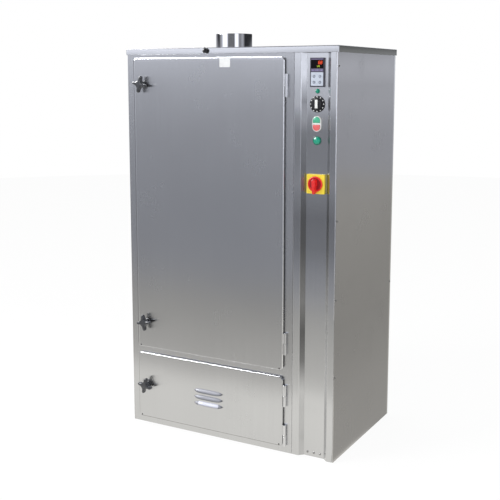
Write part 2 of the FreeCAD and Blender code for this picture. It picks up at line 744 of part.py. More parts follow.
def flange_box(door_z, inset, y):
    """The space of a door's square flange, a third of the corner radius inside the folded edges."""
    edge = DOOR_SHEET + DOOR_CORNER / 3 + inset
    return box((DOOR_LEFT + edge, DOOR_RIGHT - edge), y, (door_z[0] + edge, door_z[1] - edge))


def inner_pan(door_z, opening_z):
    """A flange against the skin's back and a plug that reaches into the opening."""
    flange = flange_box(door_z, 0, (DOOR_SKIN_BACK, FLANGE_BACK))
    plug = plug_box(opening_z, 0, (DOOR_SKIN_BACK, PLUG_BACK))
    hollow = plug_box(opening_z, DOOR_SHEET, (DOOR_SKIN_BACK, PLUG_BACK - DOOR_SHEET))
    return fuse([flange, plug]).cut(hollow)


def door_gasket(door_z):
    """A square-cut seal along the flange's outer edge, pressed on the frame's face."""
    y = FLANGE_BACK, FRONT - GASKET_GAP
    return flange_box(door_z, 0, y).cut(flange_box(door_z, GASKET_WIDTH, y))


def latch_hole(name):
    diameter = SPINDLE_D + 2 * RUNNING_CLEARANCE
    return rod_y(diameter, LATCH_X, (DOOR_FACE, PLUG_BACK), LATCHES[name])


def main_door_outer_pan():
    pan = outer_pan(MAIN_DOOR)
    return pan.cut(latch_hole("upper")).cut(latch_hole("middle"))


def main_door_inner_pan():
    pan = inner_pan(MAIN_DOOR, MAIN_OPEN)
    return pan.cut(latch_hole("upper")).cut(latch_hole("middle"))


def main_door_core():
    core = plug_box(MAIN_OPEN, DOOR_SHEET, (DOOR_SKIN_BACK, PLUG_BACK - DOOR_SHEET))
    return core.cut(latch_hole("upper")).cut(latch_hole("middle"))


def main_door_gasket():
    return door_gasket(MAIN_DOOR)


def louvre_places():
    """The lower left corner of each louvre, as (x, z)."""
    x = DOOR_LEFT + LOUVRE_FROM_LEFT
    low = LOWER_DOOR[0] + LOUVRE_RISE - LOUVRE_PITCH - LOUVRE_HEIGHT / 2
    return [(x, low + i * LOUVRE_PITCH) for i in range(LOUVRE_COUNT)]


def hood(x, z, inset):
    """A louvre's hood: it slopes out from its top edge and tapers to a point at each end."""
    left, right = x + inset, x + LOUVRE_LENGTH - inset
    top, out = z + LOUVRE_HEIGHT - inset, DOOR_FACE - LOUVRE_PROUD + inset
    taper = LOUVRE_TAPER
    back = DOOR_SKIN_BACK
    corners = {
        "bl": V(left, back, z), "br": V(right, back, z),
        "tl": V(left, back, top), "tr": V(right, back, top),
        "fl": V(left, DOOR_FACE, z), "fr": V(right, DOOR_FACE, z),
        "gl": V(left, DOOR_FACE, top), "gr": V(right, DOOR_FACE, top),
        "ol": V(left + taper, out, z), "or": V(right - taper, out, z),
    }
    rings = (
        ("bl", "br", "tr", "tl"), ("tl", "tr", "gr", "gl"), ("gl", "gr", "or", "ol"),
        ("bl", "tl", "gl", "fl"), ("br", "fr", "gr", "tr"), ("fl", "gl", "ol"),
        ("fr", "or", "gr"), ("bl", "fl", "ol", "or", "fr", "br"),
    )
    faces = [
        Part.Face(Part.makePolygon([corners[name] for name in ring + ring[:1]]))
        for ring in rings
    ]
    return Part.makeSolid(Part.makeShell(faces))


def lower_door_outer_pan():
    pan = outer_pan(LOWER_DOOR)
    for x, z in louvre_places():
        pan = pan.fuse(hood(x, z, 0)).cut(hood(x, z, DOOR_SHEET))
    return pan.removeSplitter().cut(latch_hole("lower"))


def lower_door_inner_pan():
    pan = inner_pan(LOWER_DOOR, LOWER_OPEN)
    places = louvre_places()
    vent_x = places[0][0], places[0][0] + LOUVRE_LENGTH
    vent_z = places[0][1], places[-1][1] + LOUVRE_HEIGHT
    return pan.cut(box(vent_x, (FRONT, PLUG_BACK), vent_z)).cut(latch_hole("lower"))


def lower_door_gasket():
    return door_gasket(LOWER_DOOR)


# ---- latches

def latch_grip(name):
    """A four-lobed star grip on a round neck, with a socket for its spindle."""
    z = LATCHES[name]
    neck = DOOR_FACE - PART_GAP - GRIP_NECK, DOOR_FACE - PART_GAP
    head = neck[0] - GRIP_THICKNESS, neck[0]
    star = rod_y(GRIP_D, LATCH_X, head, z)
    distance = GRIP_WAIST / 2 + GRIP_HOLLOW_R
    for i in range(4):
        angle = math.radians(GRIP_TURNS[name] + 45 + 90 * i)
        x = LATCH_X + distance * math.cos(angle)
        star = star.cut(rod_y(2 * GRIP_HOLLOW_R, x, head, z + distance * math.sin(angle)))
    grip = fuse([star, rod_y(GRIP_NECK_D, LATCH_X, neck, z)])
    return grip.cut(rod_y(SPINDLE_D, LATCH_X, (neck[1] - GRIP_SOCKET, neck[1]), z))


def latch_spindle(name):
    """The latch's spindle and its tongue, which points up when the door is free."""
    z = LATCHES[name]
    back = TONGUE_FRONT + TONGUE_THICKNESS
    spindle = rod_y(SPINDLE_D, LATCH_X, (DOOR_FACE - PART_GAP - GRIP_SOCKET, back), z)
    boss = rod_y(TONGUE_WIDTH, LATCH_X, (PLUG_BACK + PART_GAP, back), z)
    half = TONGUE_WIDTH / 2
    tongue = box((LATCH_X - half, LATCH_X + half), (TONGUE_FRONT, back), (z, z + TONGUE_REACH - half))
    tip = rod_y(TONGUE_WIDTH, LATCH_X, (TONGUE_FRONT, back), z + TONGUE_REACH - half)
    return fuse([spindle, boss, tongue, tip])


# ---- controls

def on_panel(diameter, proud, behind, z):
    """A round fitting from proud of the recess to behind it."""
    return rod_y(diameter, CONTROL_X, (RECESS_FACE - proud, RECESS_FACE + behind), z)


def controller_body(play, y):
    half_x = CONTROLLER_WIDTH / 2 - CONTROLLER_RIM + play
    half_z = CONTROLLER_HEIGHT / 2 - CONTROLLER_RIM + play
    return box(
        (CONTROL_X - half_x, CONTROL_X + half_x),
        y,
        (CONTROLLER_Z - half_z, CONTROLLER_Z + half_z),
    )


def window_place():
    half = CONTROLLER_WIDTH / 2 - CONTROLLER_RIM
    top = CONTROLLER_Z + CONTROLLER_HEIGHT / 2 - WINDOW_DROP
    return (CONTROL_X - half, CONTROL_X + half), (top - WINDOW_HEIGHT, top)


def key_places():
    """The four keys' centres, as (x, z), from the upper left one."""
    places = []
    for row in (0.5, -0.5):
        for side in (-0.5, 0.5):
            z = CONTROLLER_Z - KEY_DROP + row * KEY_SPACING_Z
            places.append((CONTROL_X + side * KEY_SPACING_X, z))
    return places


def controller_housing():
    front = RECESS_FACE - CONTROLLER_BEZEL
    half_x, half_z = CONTROLLER_WIDTH / 2, CONTROLLER_HEIGHT / 2
    bezel = box(
        (CONTROL_X - half_x, CONTROL_X + half_x),
        (front, RECESS_FACE),
        (CONTROLLER_Z - half_z, CONTROLLER_Z + half_z),
    )
    housing = fuse([bezel, controller_body(0, (RECESS_FACE, RECESS_FACE + CONTROLLER_BODY))])
    x, z = window_place()
    housing = housing.cut(box(x, (front, front + WINDOW_THICKNESS), z))
    for key_x, key_z in key_places():
        pocket = rod_y(KEY_D + 2 * BUTTON_PLAY, key_x, (front, front + KEY_POCKET), key_z)
        housing = housing.cut(pocket)
    return housing


def controller_window():
    x, z = window_place()
    front = RECESS_FACE - CONTROLLER_BEZEL
    return box(x, (front, front + WINDOW_THICKNESS), z)


def controller_key(index):
    x, z = key_places()[index]
    front = RECESS_FACE - CONTROLLER_BEZEL
    return rod_y(KEY_D, x, (front - KEY_PROUD, front + KEY_POCKET - KEY_TRAVEL - PART_GAP), z)


def pilot_lamp():
    collar = on_panel(PILOT_D, PILOT_COLLAR, 0, PILOT_Z)
    lens = on_panel(PILOT_LENS_D, PILOT_PROUD, 0, PILOT_Z)
    stem = on_panel(PILOT_HOLE_D, 0, PILOT_BODY, PILOT_Z)
    return fuse([collar, lens, stem])


def timer_body():
    half = TIMER_DRUM_D / 2
    body = box(
        (CONTROL_X - half, CONTROL_X + half),
        (RECESS_BACK, RECESS_BACK + TIMER_BODY),
        (TIMER_Z - half, TIMER_Z + half),
    )
    bore = TIMER_SHAFT_D + 2 * RUNNING_CLEARANCE
    return body.cut(on_panel(bore, 0, SHEET + TIMER_SHAFT + PART_GAP, TIMER_Z))


def timer_knob():
    """A dial skirt, a drum and a bar to turn it by; the bar points up at zero."""
    back = RECESS_FACE - PART_GAP
    skirt_front = back - TIMER_SKIRT
    drum_front = skirt_front - TIMER_DRUM
    skirt = rod_y(TIMER_D, CONTROL_X, (skirt_front, back), TIMER_Z)
    drum = rod_y(TIMER_DRUM_D, CONTROL_X, (drum_front, back), TIMER_Z)
    half_x, half_z = TIMER_BAR_WIDTH / 2, TIMER_BAR_LENGTH / 2
    bar = box(
        (CONTROL_X - half_x, CONTROL_X + half_x),
        (back - TIMER_BAR, back),
        (TIMER_Z - half_z, TIMER_Z + half_z),
    )
    shaft = on_panel(TIMER_SHAFT_D, TIMER_SKIRT, SHEET + TIMER_SHAFT, TIMER_Z)
    return fuse([skirt, drum, bar, shaft])


def button_slot(play, y):
    """The inside of the double button's bezel."""
    width, height = BUTTONS_WIDTH - 2 * BUTTONS_RIM, BUTTONS_HEIGHT - 2 * BUTTONS_RIM
    return racetrack(width - 2 * play, height - 2 * play, y, CONTROL_X, BUTTONS_Z)


def button_half(side, gap, y):
    """The upper (1) or lower (-1) half of the bezel's face, from a gap off its middle."""
    reach = side * BUTTONS_HEIGHT
    z = sorted((BUTTONS_Z + side * gap, BUTTONS_Z + reach))
    return box((CONTROL_X - BUTTONS_WIDTH, CONTROL_X + BUTTONS_WIDTH), y, z)


def button_bezel():
    y = RECESS_FACE - BUTTONS_BEZEL, RECESS_FACE
    bezel = racetrack(BUTTONS_WIDTH, BUTTONS_HEIGHT, y, CONTROL_X, BUTTONS_Z)
    bezel = fuse([bezel, on_panel(FITTING_HOLE_D, 0, FITTING_BODY, BUTTONS_Z)])
    pocket = y[0], y[0] + BUTTON_POCKET
    for side in (-1, 1):
        slot = button_slot(0, pocket).common(button_half(side, BUTTONS_BRIDGE / 2, pocket))
        bezel = bezel.cut(slot)
    return bezel


def push_button(side):
    front = RECESS_FACE - BUTTONS_BEZEL - BUTTON_PROUD
    y = front, front + BUTTON_THICKNESS
    gap = BUTTONS_BRIDGE / 2 + BUTTON_PLAY
    return button_slot(BUTTON_PLAY, y).common(button_half(side, gap, y))


def green_lamp():
    bezel = on_panel(LAMP_D, LAMP_BEZEL, 0, LAMP_Z)
    lens = on_panel(LAMP_LENS_D, LAMP_PROUD, 0, LAMP_Z)
    edges = [e for e in lens.Edges if abs(e.BoundBox.YMax - (RECESS_FACE - LAMP_PROUD)) < PART_GAP]
    lens = lens.makeFillet(LAMP_ROUND, edges)
    return fuse([bezel, lens, on_panel(FITTING_HOLE_D, 0, FITTING_BODY, LAMP_Z)])


def switch_body(play, y):
    half = SWITCH_BODY / 2 + play
    return box((CONTROL_X - half, CONTROL_X + half), y, (SWITCH_Z - half, SWITCH_Z + half))


def switch_plate():
    half = SWITCH_PLATE / 2
    x, z = (CONTROL_X - half, CONTROL_X + half), (SWITCH_Z - half, SWITCH_Z + half)
    plate = box(x, (RECESS_FACE - SWITCH_THICKNESS, RECESS_FACE), z)
    corners = [e for e in plate.Edges if abs(e.BoundBox.YLength - SWITCH_THICKNESS) < PART_GAP]
    plate = plate.makeFillet(SWITCH_CORNER, corners)
    body = switch_body(0, (RECESS_FACE, RECESS_FACE + SWITCH_BODY))
    bore = on_panel(SWITCH_SHAFT_D + 2 * RUNNING_CLEARANCE, SWITCH_THICKNESS, SWITCH_BORE, SWITCH_Z)
    return fuse([plate, body]).cut(bore)


def switch_handle():
    """A ring and a tapered grip that points down at rest, on a shaft in the plate's bore."""
    back = RECESS_FACE - SWITCH_THICKNESS - PART_GAP
    ring = rod_y(SWITCH_RING_D, CONTROL_X, (back - SWITCH_RING, back), SWITCH_Z)
    top = SWITCH_Z + SWITCH_GRIP_RISE
    bottom = top - SWITCH_GRIP_LENGTH
    wide, narrow = SWITCH_GRIP_WIDTH / 2, SWITCH_GRIP_TIP / 2
    outline = [
        V(CONTROL_X - wide, back - SWITCH_RING, top),
        V(CONTROL_X + wide, back - SWITCH_RING, top),
        V(CONTROL_X + narrow, back - SWITCH_RING, bottom),
        V(CONTROL_X - narrow, back - SWITCH_RING, bottom),
    ]
    grip = prism(outline, V(0, SWITCH_RING - SWITCH_GRIP, 0))
    shaft = on_panel(SWITCH_SHAFT_D, SWITCH_THICKNESS + SWITCH_RING, SWITCH_SHAFT, SWITCH_Z)
    return fuse([ring, grip, shaft])


# ---- electrical bay

def din_rail():
    """A top-hat rail on the partition."""
    y = -RAIL_LENGTH / 2, RAIL_LENGTH / 2
    inner, outer = RAIL_CHANNEL / 2, RAIL_WIDTH / 2
    web = box((COLUMN_LEFT, COLUMN_LEFT + RAIL_SHEET), y, (RAIL_Z - inner, RAIL_Z + inner))
    shapes = [web]
    lip_x = COLUMN_LEFT + RAIL_DEPTH - RAIL_SHEET, COLUMN_LEFT + RAIL_DEPTH
    for side in (-1, 1):
        wall_z = sorted((RAIL_Z + side * (inner - RAIL_SHEET), RAIL_Z + side * inner))
        shapes.append(box((COLUMN_LEFT, lip_x[1]), y, wall_z))
        lip_z = sorted((RAIL_Z + side * (inner - RAIL_SHEET), RAIL_Z + side * outer))
        shapes.append(box(lip_x, y, lip_z))
    return fuse(shapes)


def contactor():
    """The switching contactor, with a stepped front and a terminal row above and below."""
    x = COLUMN_LEFT + RAIL_DEPTH
    y = -CONTACTOR_WIDTH / 2, CONTACTOR_WIDTH / 2
    step = x + CONTACTOR_STEP
    half, nose = CONTACTOR_HEIGHT / 2, CONTACTOR_NOSE / 2
    body = fuse([
        box((x, step), y, (RAIL_Z - half, RAIL_Z + half)),
        box((x, x + CONTACTOR_DEPTH), y, (RAIL_Z - nose, RAIL_Z + nose)),
    ])
    for side in (-1, 1):
        z = RAIL_Z + side * (half - TERMINAL_INSET)
        for i in (-1, 0, 1):
            body = body.cut(rod_x(TERMINAL_D, (step - TERMINAL_DEPTH, step), i * TERMINAL_PITCH, z))
    return body


def cable_gland():
    """The mains inlet: a gland through the back of the electrical bay."""
    wall = BACK - SHEET, BACK
    flange = rod_y(GLAND_FLANGE_D, CONTROL_X, (wall[1], wall[1] + GLAND_FLANGE), GLAND_Z)
    nut = rod_y(GLAND_NUT_D, CONTROL_X, (wall[1], wall[1] + GLAND_LENGTH), GLAND_Z)
    thread = rod_y(GLAND_HOLE_D, CONTROL_X, (wall[0] - GLAND_THREAD, wall[1]), GLAND_Z)
    locknut = rod_y(GLAND_FLANGE_D, CONTROL_X, (wall[0] - GLAND_FLANGE, wall[0]), GLAND_Z)
    bore = rod_y(GLAND_BORE_D, CONTROL_X, (wall[0] - GLAND_THREAD, wall[1] + GLAND_LENGTH), GLAND_Z)
    return fuse([flange, nut, thread, locknut]).cut(bore)


def rivet(point, outward):
    """A dome-headed rivet through two sheets; the point is on the outer face."""
    head = Part.makeCylinder(RIVET_HEAD_D / 2, RIVET_HEAD, point, outward)
    through = outward * -(2 * SHEET + RIVET_HEAD)
    shank = Part.makeCylinder(RIVET_D / 2, 2 * SHEET + 2 * RIVET_HEAD, point + through, outward)
    return fuse([head, shank])


def side_rivets():
    places = [(FRONT + RIVET_INSET, z) for z in SIDE_RIVETS] + [(BACK - RIVET_INSET, BACK_RIVET_RISE)]
    return Part.makeCompound([rivet(V(RIGHT, y, z), V(1, 0, 0)) for y, z in places])


def column_rivets():
    places = [CONTROL_X + i * COLUMN_RIVET_PITCH for i in (-1, 0, 1)]
    rivets = [rivet(V(x, RECESS_FACE, COLUMN_RIVET_RISE), V(0, -1, 0)) for x in places]
    return Part.makeCompound(rivets)


def panel_rivets():
    return Part.makeCompound(side_rivets().Solids + column_rivets().Solids)


NODES = {
    "base_plate": base_plate,
    "left_side_panel": left_side_panel,
    "right_side_panel": right_side_panel,
    "back_panel": back_panel,
    "top_cover": top_cover,
    "front_frame": front_frame,
    "control_column": control_column,
    "partition_wall": partition_wall,
    "liner_left": liner_left,
    "liner_right": liner_right,
    "liner_back": liner_back,
    "liner_roof": liner_roof,
    "cabinet_insulation": cabinet_insulation,
    "rack_ladders": rack_ladders,
    "drip_tray": drip_tray,
    "wire_grids": wire_grids,
    "smoking_rods": smoking_rods,
    "chamber_heater": chamber_heater,
    "chip_heater": chip_heater,
    "chip_tray": chip_tray,
    "temperature_probe": temperature_probe,
    "flue_pipe": flue_pipe,
    "hinge_frame_halves": hinge_frame_halves,
    "hinge_pins": hinge_pins,
    "controller_housing": controller_housing,
    "controller_window": controller_window,
    "pilot_lamp": pilot_lamp,
    "timer_body": timer_body,
    "button_bezel": button_bezel,
    "green_lamp": green_lamp,
    "switch_plate": switch_plate,
    "din_rail": din_rail,
    "contactor": contactor,
    "cable_gland": cable_gland,
    "panel_rivets": panel_rivets,
    "main_door_outer_pan": main_door_outer_pan,
    "main_door_inner_pan": main_door_inner_pan,
    "main_door_core": main_door_core,
    "main_door_gasket": main_door_gasket,
    "main_door_hinge_halves": main_door_hinge_halves,
    "lower_door_outer_pan": lower_door_outer_pan,
    "lower_door_inner_pan": lower_door_inner_pan,
    "lower_door_gasket": lower_door_gasket,
    "lower_door_hinge_halves": lower_door_hinge_halves,
    "damper_blade": damper_blade,
    "damper_knob": damper_knob,
    "timer_knob": timer_knob,
    "start_button": lambda: push_button(1),
    "stop_button": lambda: push_button(-1),
    "switch_handle": switch_handle,
}
for key in range(4):
    NODES[f"controller_key_{key + 1}"] = lambda key=key: controller_key(key)
for place in LATCHES:
    NODES[f"{place}_latch_grip"] = lambda place=place: latch_grip(place)
    NODES[f"{place}_latch_spindle"] = lambda place=place: latch_spindle(place)

os.makedirs("parts", exist_ok=True)
for node, make in NODES.items():
    shape = make()
    if not shape.isValid():
        print("not valid:", node)
    shape.exportStep(f"parts/{node}.step")
print(len(NODES), "nodes")
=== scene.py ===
# %% [markdown]
# # An electric smoking cabinet, dressed
# The solids come from CAD and already have the right size and place. This script gives them
# their looks: folded steel with its grain and bent edges, moulded grips and knobs, lamps and
# a lit display. Each step says what the piece is on the real cabinet and why it is made so.

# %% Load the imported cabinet
import json
import math
import bmesh
import bpy
from mathutils import Matrix, Vector


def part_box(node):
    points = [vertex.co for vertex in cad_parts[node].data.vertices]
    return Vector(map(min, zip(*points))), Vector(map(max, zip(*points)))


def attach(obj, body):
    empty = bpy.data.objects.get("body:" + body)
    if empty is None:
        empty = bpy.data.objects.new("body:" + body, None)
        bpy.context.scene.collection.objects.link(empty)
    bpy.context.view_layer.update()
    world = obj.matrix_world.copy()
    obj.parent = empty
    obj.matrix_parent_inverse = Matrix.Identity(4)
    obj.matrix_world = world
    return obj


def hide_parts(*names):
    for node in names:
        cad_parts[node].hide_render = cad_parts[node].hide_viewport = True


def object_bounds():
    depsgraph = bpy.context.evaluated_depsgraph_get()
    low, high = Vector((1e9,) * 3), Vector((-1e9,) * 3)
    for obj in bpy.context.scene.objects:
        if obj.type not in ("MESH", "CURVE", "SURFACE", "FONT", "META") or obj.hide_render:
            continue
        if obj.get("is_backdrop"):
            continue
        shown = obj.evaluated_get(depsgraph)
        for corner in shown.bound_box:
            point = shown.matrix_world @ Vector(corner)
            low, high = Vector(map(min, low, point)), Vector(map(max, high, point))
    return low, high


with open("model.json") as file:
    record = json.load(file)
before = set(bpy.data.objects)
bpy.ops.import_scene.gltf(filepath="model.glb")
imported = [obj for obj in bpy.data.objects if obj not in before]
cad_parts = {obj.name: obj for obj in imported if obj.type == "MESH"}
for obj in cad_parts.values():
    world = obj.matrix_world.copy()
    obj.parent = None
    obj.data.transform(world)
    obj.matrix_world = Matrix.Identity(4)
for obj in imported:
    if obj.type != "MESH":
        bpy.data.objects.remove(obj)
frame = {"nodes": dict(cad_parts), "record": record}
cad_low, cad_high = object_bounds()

nodes, record = frame["nodes"], frame["record"]
MM = 0.001
home = {node: body for body, members in record["behaviour"]["bodies"].items() for node in members}

# %% [markdown]
# ## The camera
# The camera stands a little below the cabinet's top. It is tipped only slightly, and the picture is
# shifted instead, as a shift lens does, so that the uprights stay nearly upright.

# %% Place the camera
STANDS_AT = (1.5719, -2.9201, 1.2952)
TIPPED_DOWN, TURNED = 0.1462, 0.5078
FOCAL_LENGTH, SENSOR, SHIFT = 64.38, 36, -0.08
camera = bpy.data.objects.new("camera", bpy.data.cameras.new("camera"))
bpy.context.scene.collection.objects.link(camera)
camera.location = STANDS_AT
camera.rotation_euler = (math.radians(90) - TIPPED_DOWN, 0, TURNED)
camera.data.lens = FOCAL_LENGTH
camera.data.sensor_width = SENSOR
camera.data.shift_y = SHIFT
bpy.context.scene.camera = camera
bpy.context.scene.view_settings.view_transform = "Standard"
print("camera at", tuple(round(c, 3) for c in camera.location))

# %% [markdown]
# ## Small helpers for node trees
# A material or a world is a tree of nodes. Writing each node with its links in one line keeps
# the trees short enough to read.

# %% A short way to add and link nodes
def new_tree(holder):
    """Gives a material or a world an empty node tree."""
    holder.use_nodes = True
    holder.node_tree.nodes.clear()
    return holder.node_tree


def add_node(tree, kind, inputs=None, **settings):
    """Adds a node, sets its properties, then fills or links the inputs given by name or number."""
    node = tree.nodes.new(kind)
    for name, value in settings.items():
        setattr(node, name, value)
    for key, value in (inputs or {}).items():
        if isinstance(value, bpy.types.NodeSocket):
            tree.links.new(value, node.inputs[key])
        else:
            node.inputs[key].default_value = value
    return node


def maths(tree, operation, a, b=0.0, clamp=False):
    """One Math node; a and b are numbers or sockets."""
    return add_node(tree, "ShaderNodeMath", {0: a, 1: b}, operation=operation, use_clamp=clamp).outputs[0]


def vectors(tree, operation, a, b):
    """One Vector Math node."""
    return add_node(tree, "ShaderNodeVectorMath", {0: a, 1: b}, operation=operation).outputs[0]


def noise(tree, vector, scale, detail, **more):
    """One Noise Texture; more holds further inputs."""
    inputs = {"Vector": vector, "Scale": scale, "Detail": detail, **more}
    return add_node(tree, "ShaderNodeTexNoise", inputs).outputs[0]


def fade(tree, value, start, end):
    """0 up to start, 1 from end on."""
    return add_node(tree, "ShaderNodeMapRange", {0: value, 1: start, 2: end, 3: 0.0, 4: 1.0}).outputs[0]


def ramp(tree, factor, stops):
    """A Color Ramp from (position, grey or colour) stops."""
    node = add_node(tree, "ShaderNodeValToRGB", {0: factor})
    elements = node.color_ramp.elements
    while len(elements) < len(stops):
        elements.new(0.5)
    for element, (position, tone) in zip(elements, stops):
        element.position = position
        element.color = (*tone, 1) if isinstance(tone, tuple) else (tone, tone, tone, 1)
    return node.outputs[0]


def mix(tree, factor, a, b, blend="MIX"):
    """Mixes two colours; each is a socket or three numbers."""
    node = add_node(tree, "ShaderNodeMix", {0: factor}, data_type="RGBA", blend_type=blend)
    for key, value in ((6, a), (7, b)):
        if isinstance(value, bpy.types.NodeSocket):
            tree.links.new(value, node.inputs[key])
        else:
            node.inputs[key].default_value = (*value, 1)
    return node.outputs[2]


def mix_shaders(tree, factor, a, b):
    """A Mix Shader node of two shader nodes."""
    return add_node(tree, "ShaderNodeMixShader", {0: factor, 1: a.outputs[0], 2: b.outputs[0]})


def not_mirrored(tree, rays):
    """1 for the rays that should see a white backdrop: the camera's and those through glass."""
    return maths(tree, "MAXIMUM", rays.outputs["Is Camera Ray"], rays.outputs["Is Transmission Ray"])


print("node helpers ready")

# %% [markdown]
# ## The studio
# Brushed steel has hardly a colour of its own: it shows the room. The backdrop is white, and the
# room in front of the cabinet is painted in five belts, one above the other, with dark stretches
# and pale soft boxes at chosen bearings. Only mirror-like rays see that room; everything else
# gets an even light.

# %% Turn a direction into a place on a ramp
COOL, WARM = (0.93, 0.96, 1.06), (1.03, 1.01, 0.96)


def tint(level, colour=COOL):
    """A grey of the given level, slightly tinted."""
    return tuple(level * c for c in colour)


def bearing(degrees):
    """A bearing, 0 to the front and positive to the right, as a place on a ramp."""
    return degrees / 360 + 0.5


def rise(degrees):
    """An elevation as a place on a ramp."""
    return degrees / 180 + 0.5


world = bpy.data.worlds.new("studio")
bpy.context.scene.world = world
tree = new_tree(world)
direction = add_node(tree, "ShaderNodeTexCoord").outputs["Generated"]
x, y, z = add_node(tree, "ShaderNodeSeparateXYZ", {0: direction}).outputs
around = maths(tree, "ARCTAN2", x, maths(tree, "MULTIPLY", y, -1.0))
around = maths(tree, "ADD", maths(tree, "DIVIDE", around, 2 * math.pi), 0.5)
height = maths(tree, "DIVIDE", maths(tree, "ARCSINE", z), math.pi)
height = maths(tree, "ADD", height, 0.5)
print("the front is at", bearing(0), "and the horizon at", rise(0))

# %% Paint the room in belts
# Each belt is a list of (bearing, light).
ROOM = {
    "walls": [(-180, 0.02), (-154, 0.02), (-144, 0.24), (-112, 0.22), (-98, 0.03), (-78, 0.03), (-66, 0.30),
              (-54, 0.38), (-45, 1.1), (-17, 1.1), (-8, 0.14), (31, 0.13), (38, 1.1), (53, 1.1), (62, 0.18),
              (74, 0.20), (82, 0.36), (94, 0.24), (101, 0.02), (180, 0.02)],
    "eye level": [(-180, 0.72), (-120, 0.45), (-100, 0.9), (-75, 0.9), (-60, 0.50), (-30, 0.53), (-10, 0.40),
                  (5, 1.0), (36, 1.1), (46, 1.9), (74, 1.9), (82, 1.0), (110, 0.50), (150, 0.72), (180, 0.72)],
    "low": [(-180, 0.36), (-118, 0.26), (-104, 0.26), (-98, 0.9), (-76, 0.9), (-66, 0.36), (-30, 0.31),
            (-4, 0.26), (6, 1.0), (30, 1.0), (42, 0.13), (80, 0.14), (120, 0.30), (150, 0.38), (180, 0.36)],
    "cards": [(-180, 0.55), (-120, 0.50), (-108, 0.14), (-102, 1.5), (-66, 1.5), (-45, 1.25), (-15, 1.2),
              (-8, 0.14), (60, 0.12), (110, 0.40), (180, 0.55)],
    "ceiling": [(-180, 0.55), (-120, 0.50), (-90, 0.14), (60, 0.12), (110, 0.40), (180, 0.55)],
}
painted = {}
for name, stops in ROOM.items():
    painted[name] = ramp(tree, around, [(bearing(degrees), tint(light)) for degrees, light in stops])
above_low = ramp(tree, height, [(rise(-3), 0.0), (rise(-1.3), 0.25), (rise(1.0), 1.0)])
room = mix(tree, above_low, painted["low"], painted["eye level"])
for name, start, full in (("walls", 1.8, 2.3), ("cards", 13, 16), ("ceiling", 44, 50)):
    above = ramp(tree, height, [(rise(start), 0.0), (rise(full), 1.0)])
    room = mix(tree, above, room, painted[name])

EVEN_LIGHT, MIRRORED_LIGHT = 0.62, 1.25
rays = add_node(tree, "ShaderNodeLightPath")
plain = add_node(tree, "ShaderNodeBackground", {0: (0.98, 0.99, 1.0, 1), 1: EVEN_LIGHT})
mirrored = add_node(tree, "ShaderNodeBackground", {0: room, 1: MIRRORED_LIGHT})
white = add_node(tree, "ShaderNodeBackground", {0: (1, 1, 1, 1), 1: 1.0})
shown = mix_shaders(tree, rays.outputs["Is Glossy Ray"], plain, mirrored)
shown = mix_shaders(tree, not_mirrored(tree, rays), shown, white)
add_node(tree, "ShaderNodeOutputWorld", {0: shown.outputs[0]})
print("studio painted with", len(tree.nodes), "nodes")

# %% Hang three soft lamps
def soft_lamp(name, place, target, size, watts, sparkle=False):
    """A square lamp that looks at a target.

    Mirror-like rays don't see it, because they see the painted room. A sparkle lamp is seen by them alone,
    and gives the small highlights on glossy plastic."""
    lamp = bpy.data.objects.new(name, bpy.data.lights.new(name, "AREA"))
    lamp.data.shape = "SQUARE"
    lamp.data.size = size
    lamp.data.energy = watts
    lamp.location = place
    lamp.rotation_euler = (Vector(target) - Vector(place)).to_track_quat("-Z", "Y").to_euler()
    lamp.visible_glossy = sparkle
    lamp.visible_diffuse = not sparkle
    bpy.context.scene.collection.objects.link(lamp)


soft_lamp("key_lamp", (-2.6, -3.2, 3.4), (0, 0, 0.8), 1.8, 80)
soft_lamp("sparkle_lamp", (-2.2, -0.9, 2.8), (0.35, -0.3, 1.2), 1.8, 260, sparkle=True)
soft_lamp("fill_lamp", (3.4, -1.6, 2.4), (0, 0, 0.8), 2.2, 45)

# %% [markdown]
# ## The floor
# A plain pale sheet. Seen straight on it is the backdrop's white; what light it receives is mixed
# in, so that the cabinet still casts a soft shadow on it. In the steel it is grey, with a pale
# strip in front of the cabinet, as a real floor under a lamp would be.

# %% Lay the floor
FLOOR_RADIUS, FLOOR_SIDES, FLOOR_Z = 9.0, 64, -0.0005
ring = [i * math.tau / FLOOR_SIDES for i in range(FLOOR_SIDES)]
floor_mesh = bpy.data.meshes.new("floor")
floor_mesh.from_pydata([(math.cos(a) * FLOOR_RADIUS, math.sin(a) * FLOOR_RADIUS, FLOOR_Z) for a in ring],
                       [], [tuple(range(FLOOR_SIDES))])
floor = bpy.data.objects.new("floor", floor_mesh)
bpy.context.scene.collection.objects.link(floor)
floor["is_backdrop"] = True
print("floor laid,", 2 * FLOOR_RADIUS, "m across")

# %% Give it its two looks
NEAREST, SPAN = 4.0, 5.0
GREY_FLOOR = tint(0.42, WARM)
PAINTED_FLOOR = [(0.0, tint(0.37)), (0.20, tint(0.37)), (0.28, tint(0.38)), (0.40, tint(0.41, WARM)),
                 (0.54, tint(0.55, WARM)), (0.61, tint(0.57, WARM)), (0.65, tint(0.98, WARM)),
                 (0.78, tint(0.95, WARM)), (0.83, GREY_FLOOR), (1.0, GREY_FLOOR)]
BACKDROP_SHARE, BACKDROP_LIGHT = 0.86, 1.04
paper = bpy.data.materials.new("pale_floor")
tree = new_tree(paper)
rays = add_node(tree, "ShaderNodeLightPath")
place = add_node(tree, "ShaderNodeTexCoord").outputs["Object"]
across, depth, _ = add_node(tree, "ShaderNodeSeparateXYZ", {0: place}).outputs
front = ramp(tree, maths(tree, "DIVIDE", maths(tree, "ADD", depth, NEAREST), SPAN, clamp=True), PAINTED_FLOOR)
# Right of the cabinet and behind its front, the floor in the steel is a painted shadow of the cabinet; the pale
# strip in front is a painted pool of light.
right_of_cabinet = fade(tree, across, 0.41, 0.43)
behind_its_front = fade(tree, depth, -0.33, -0.28)
mirrored = mix(tree, maths(tree, "MULTIPLY", right_of_cabinet, behind_its_front), front, GREY_FLOOR)
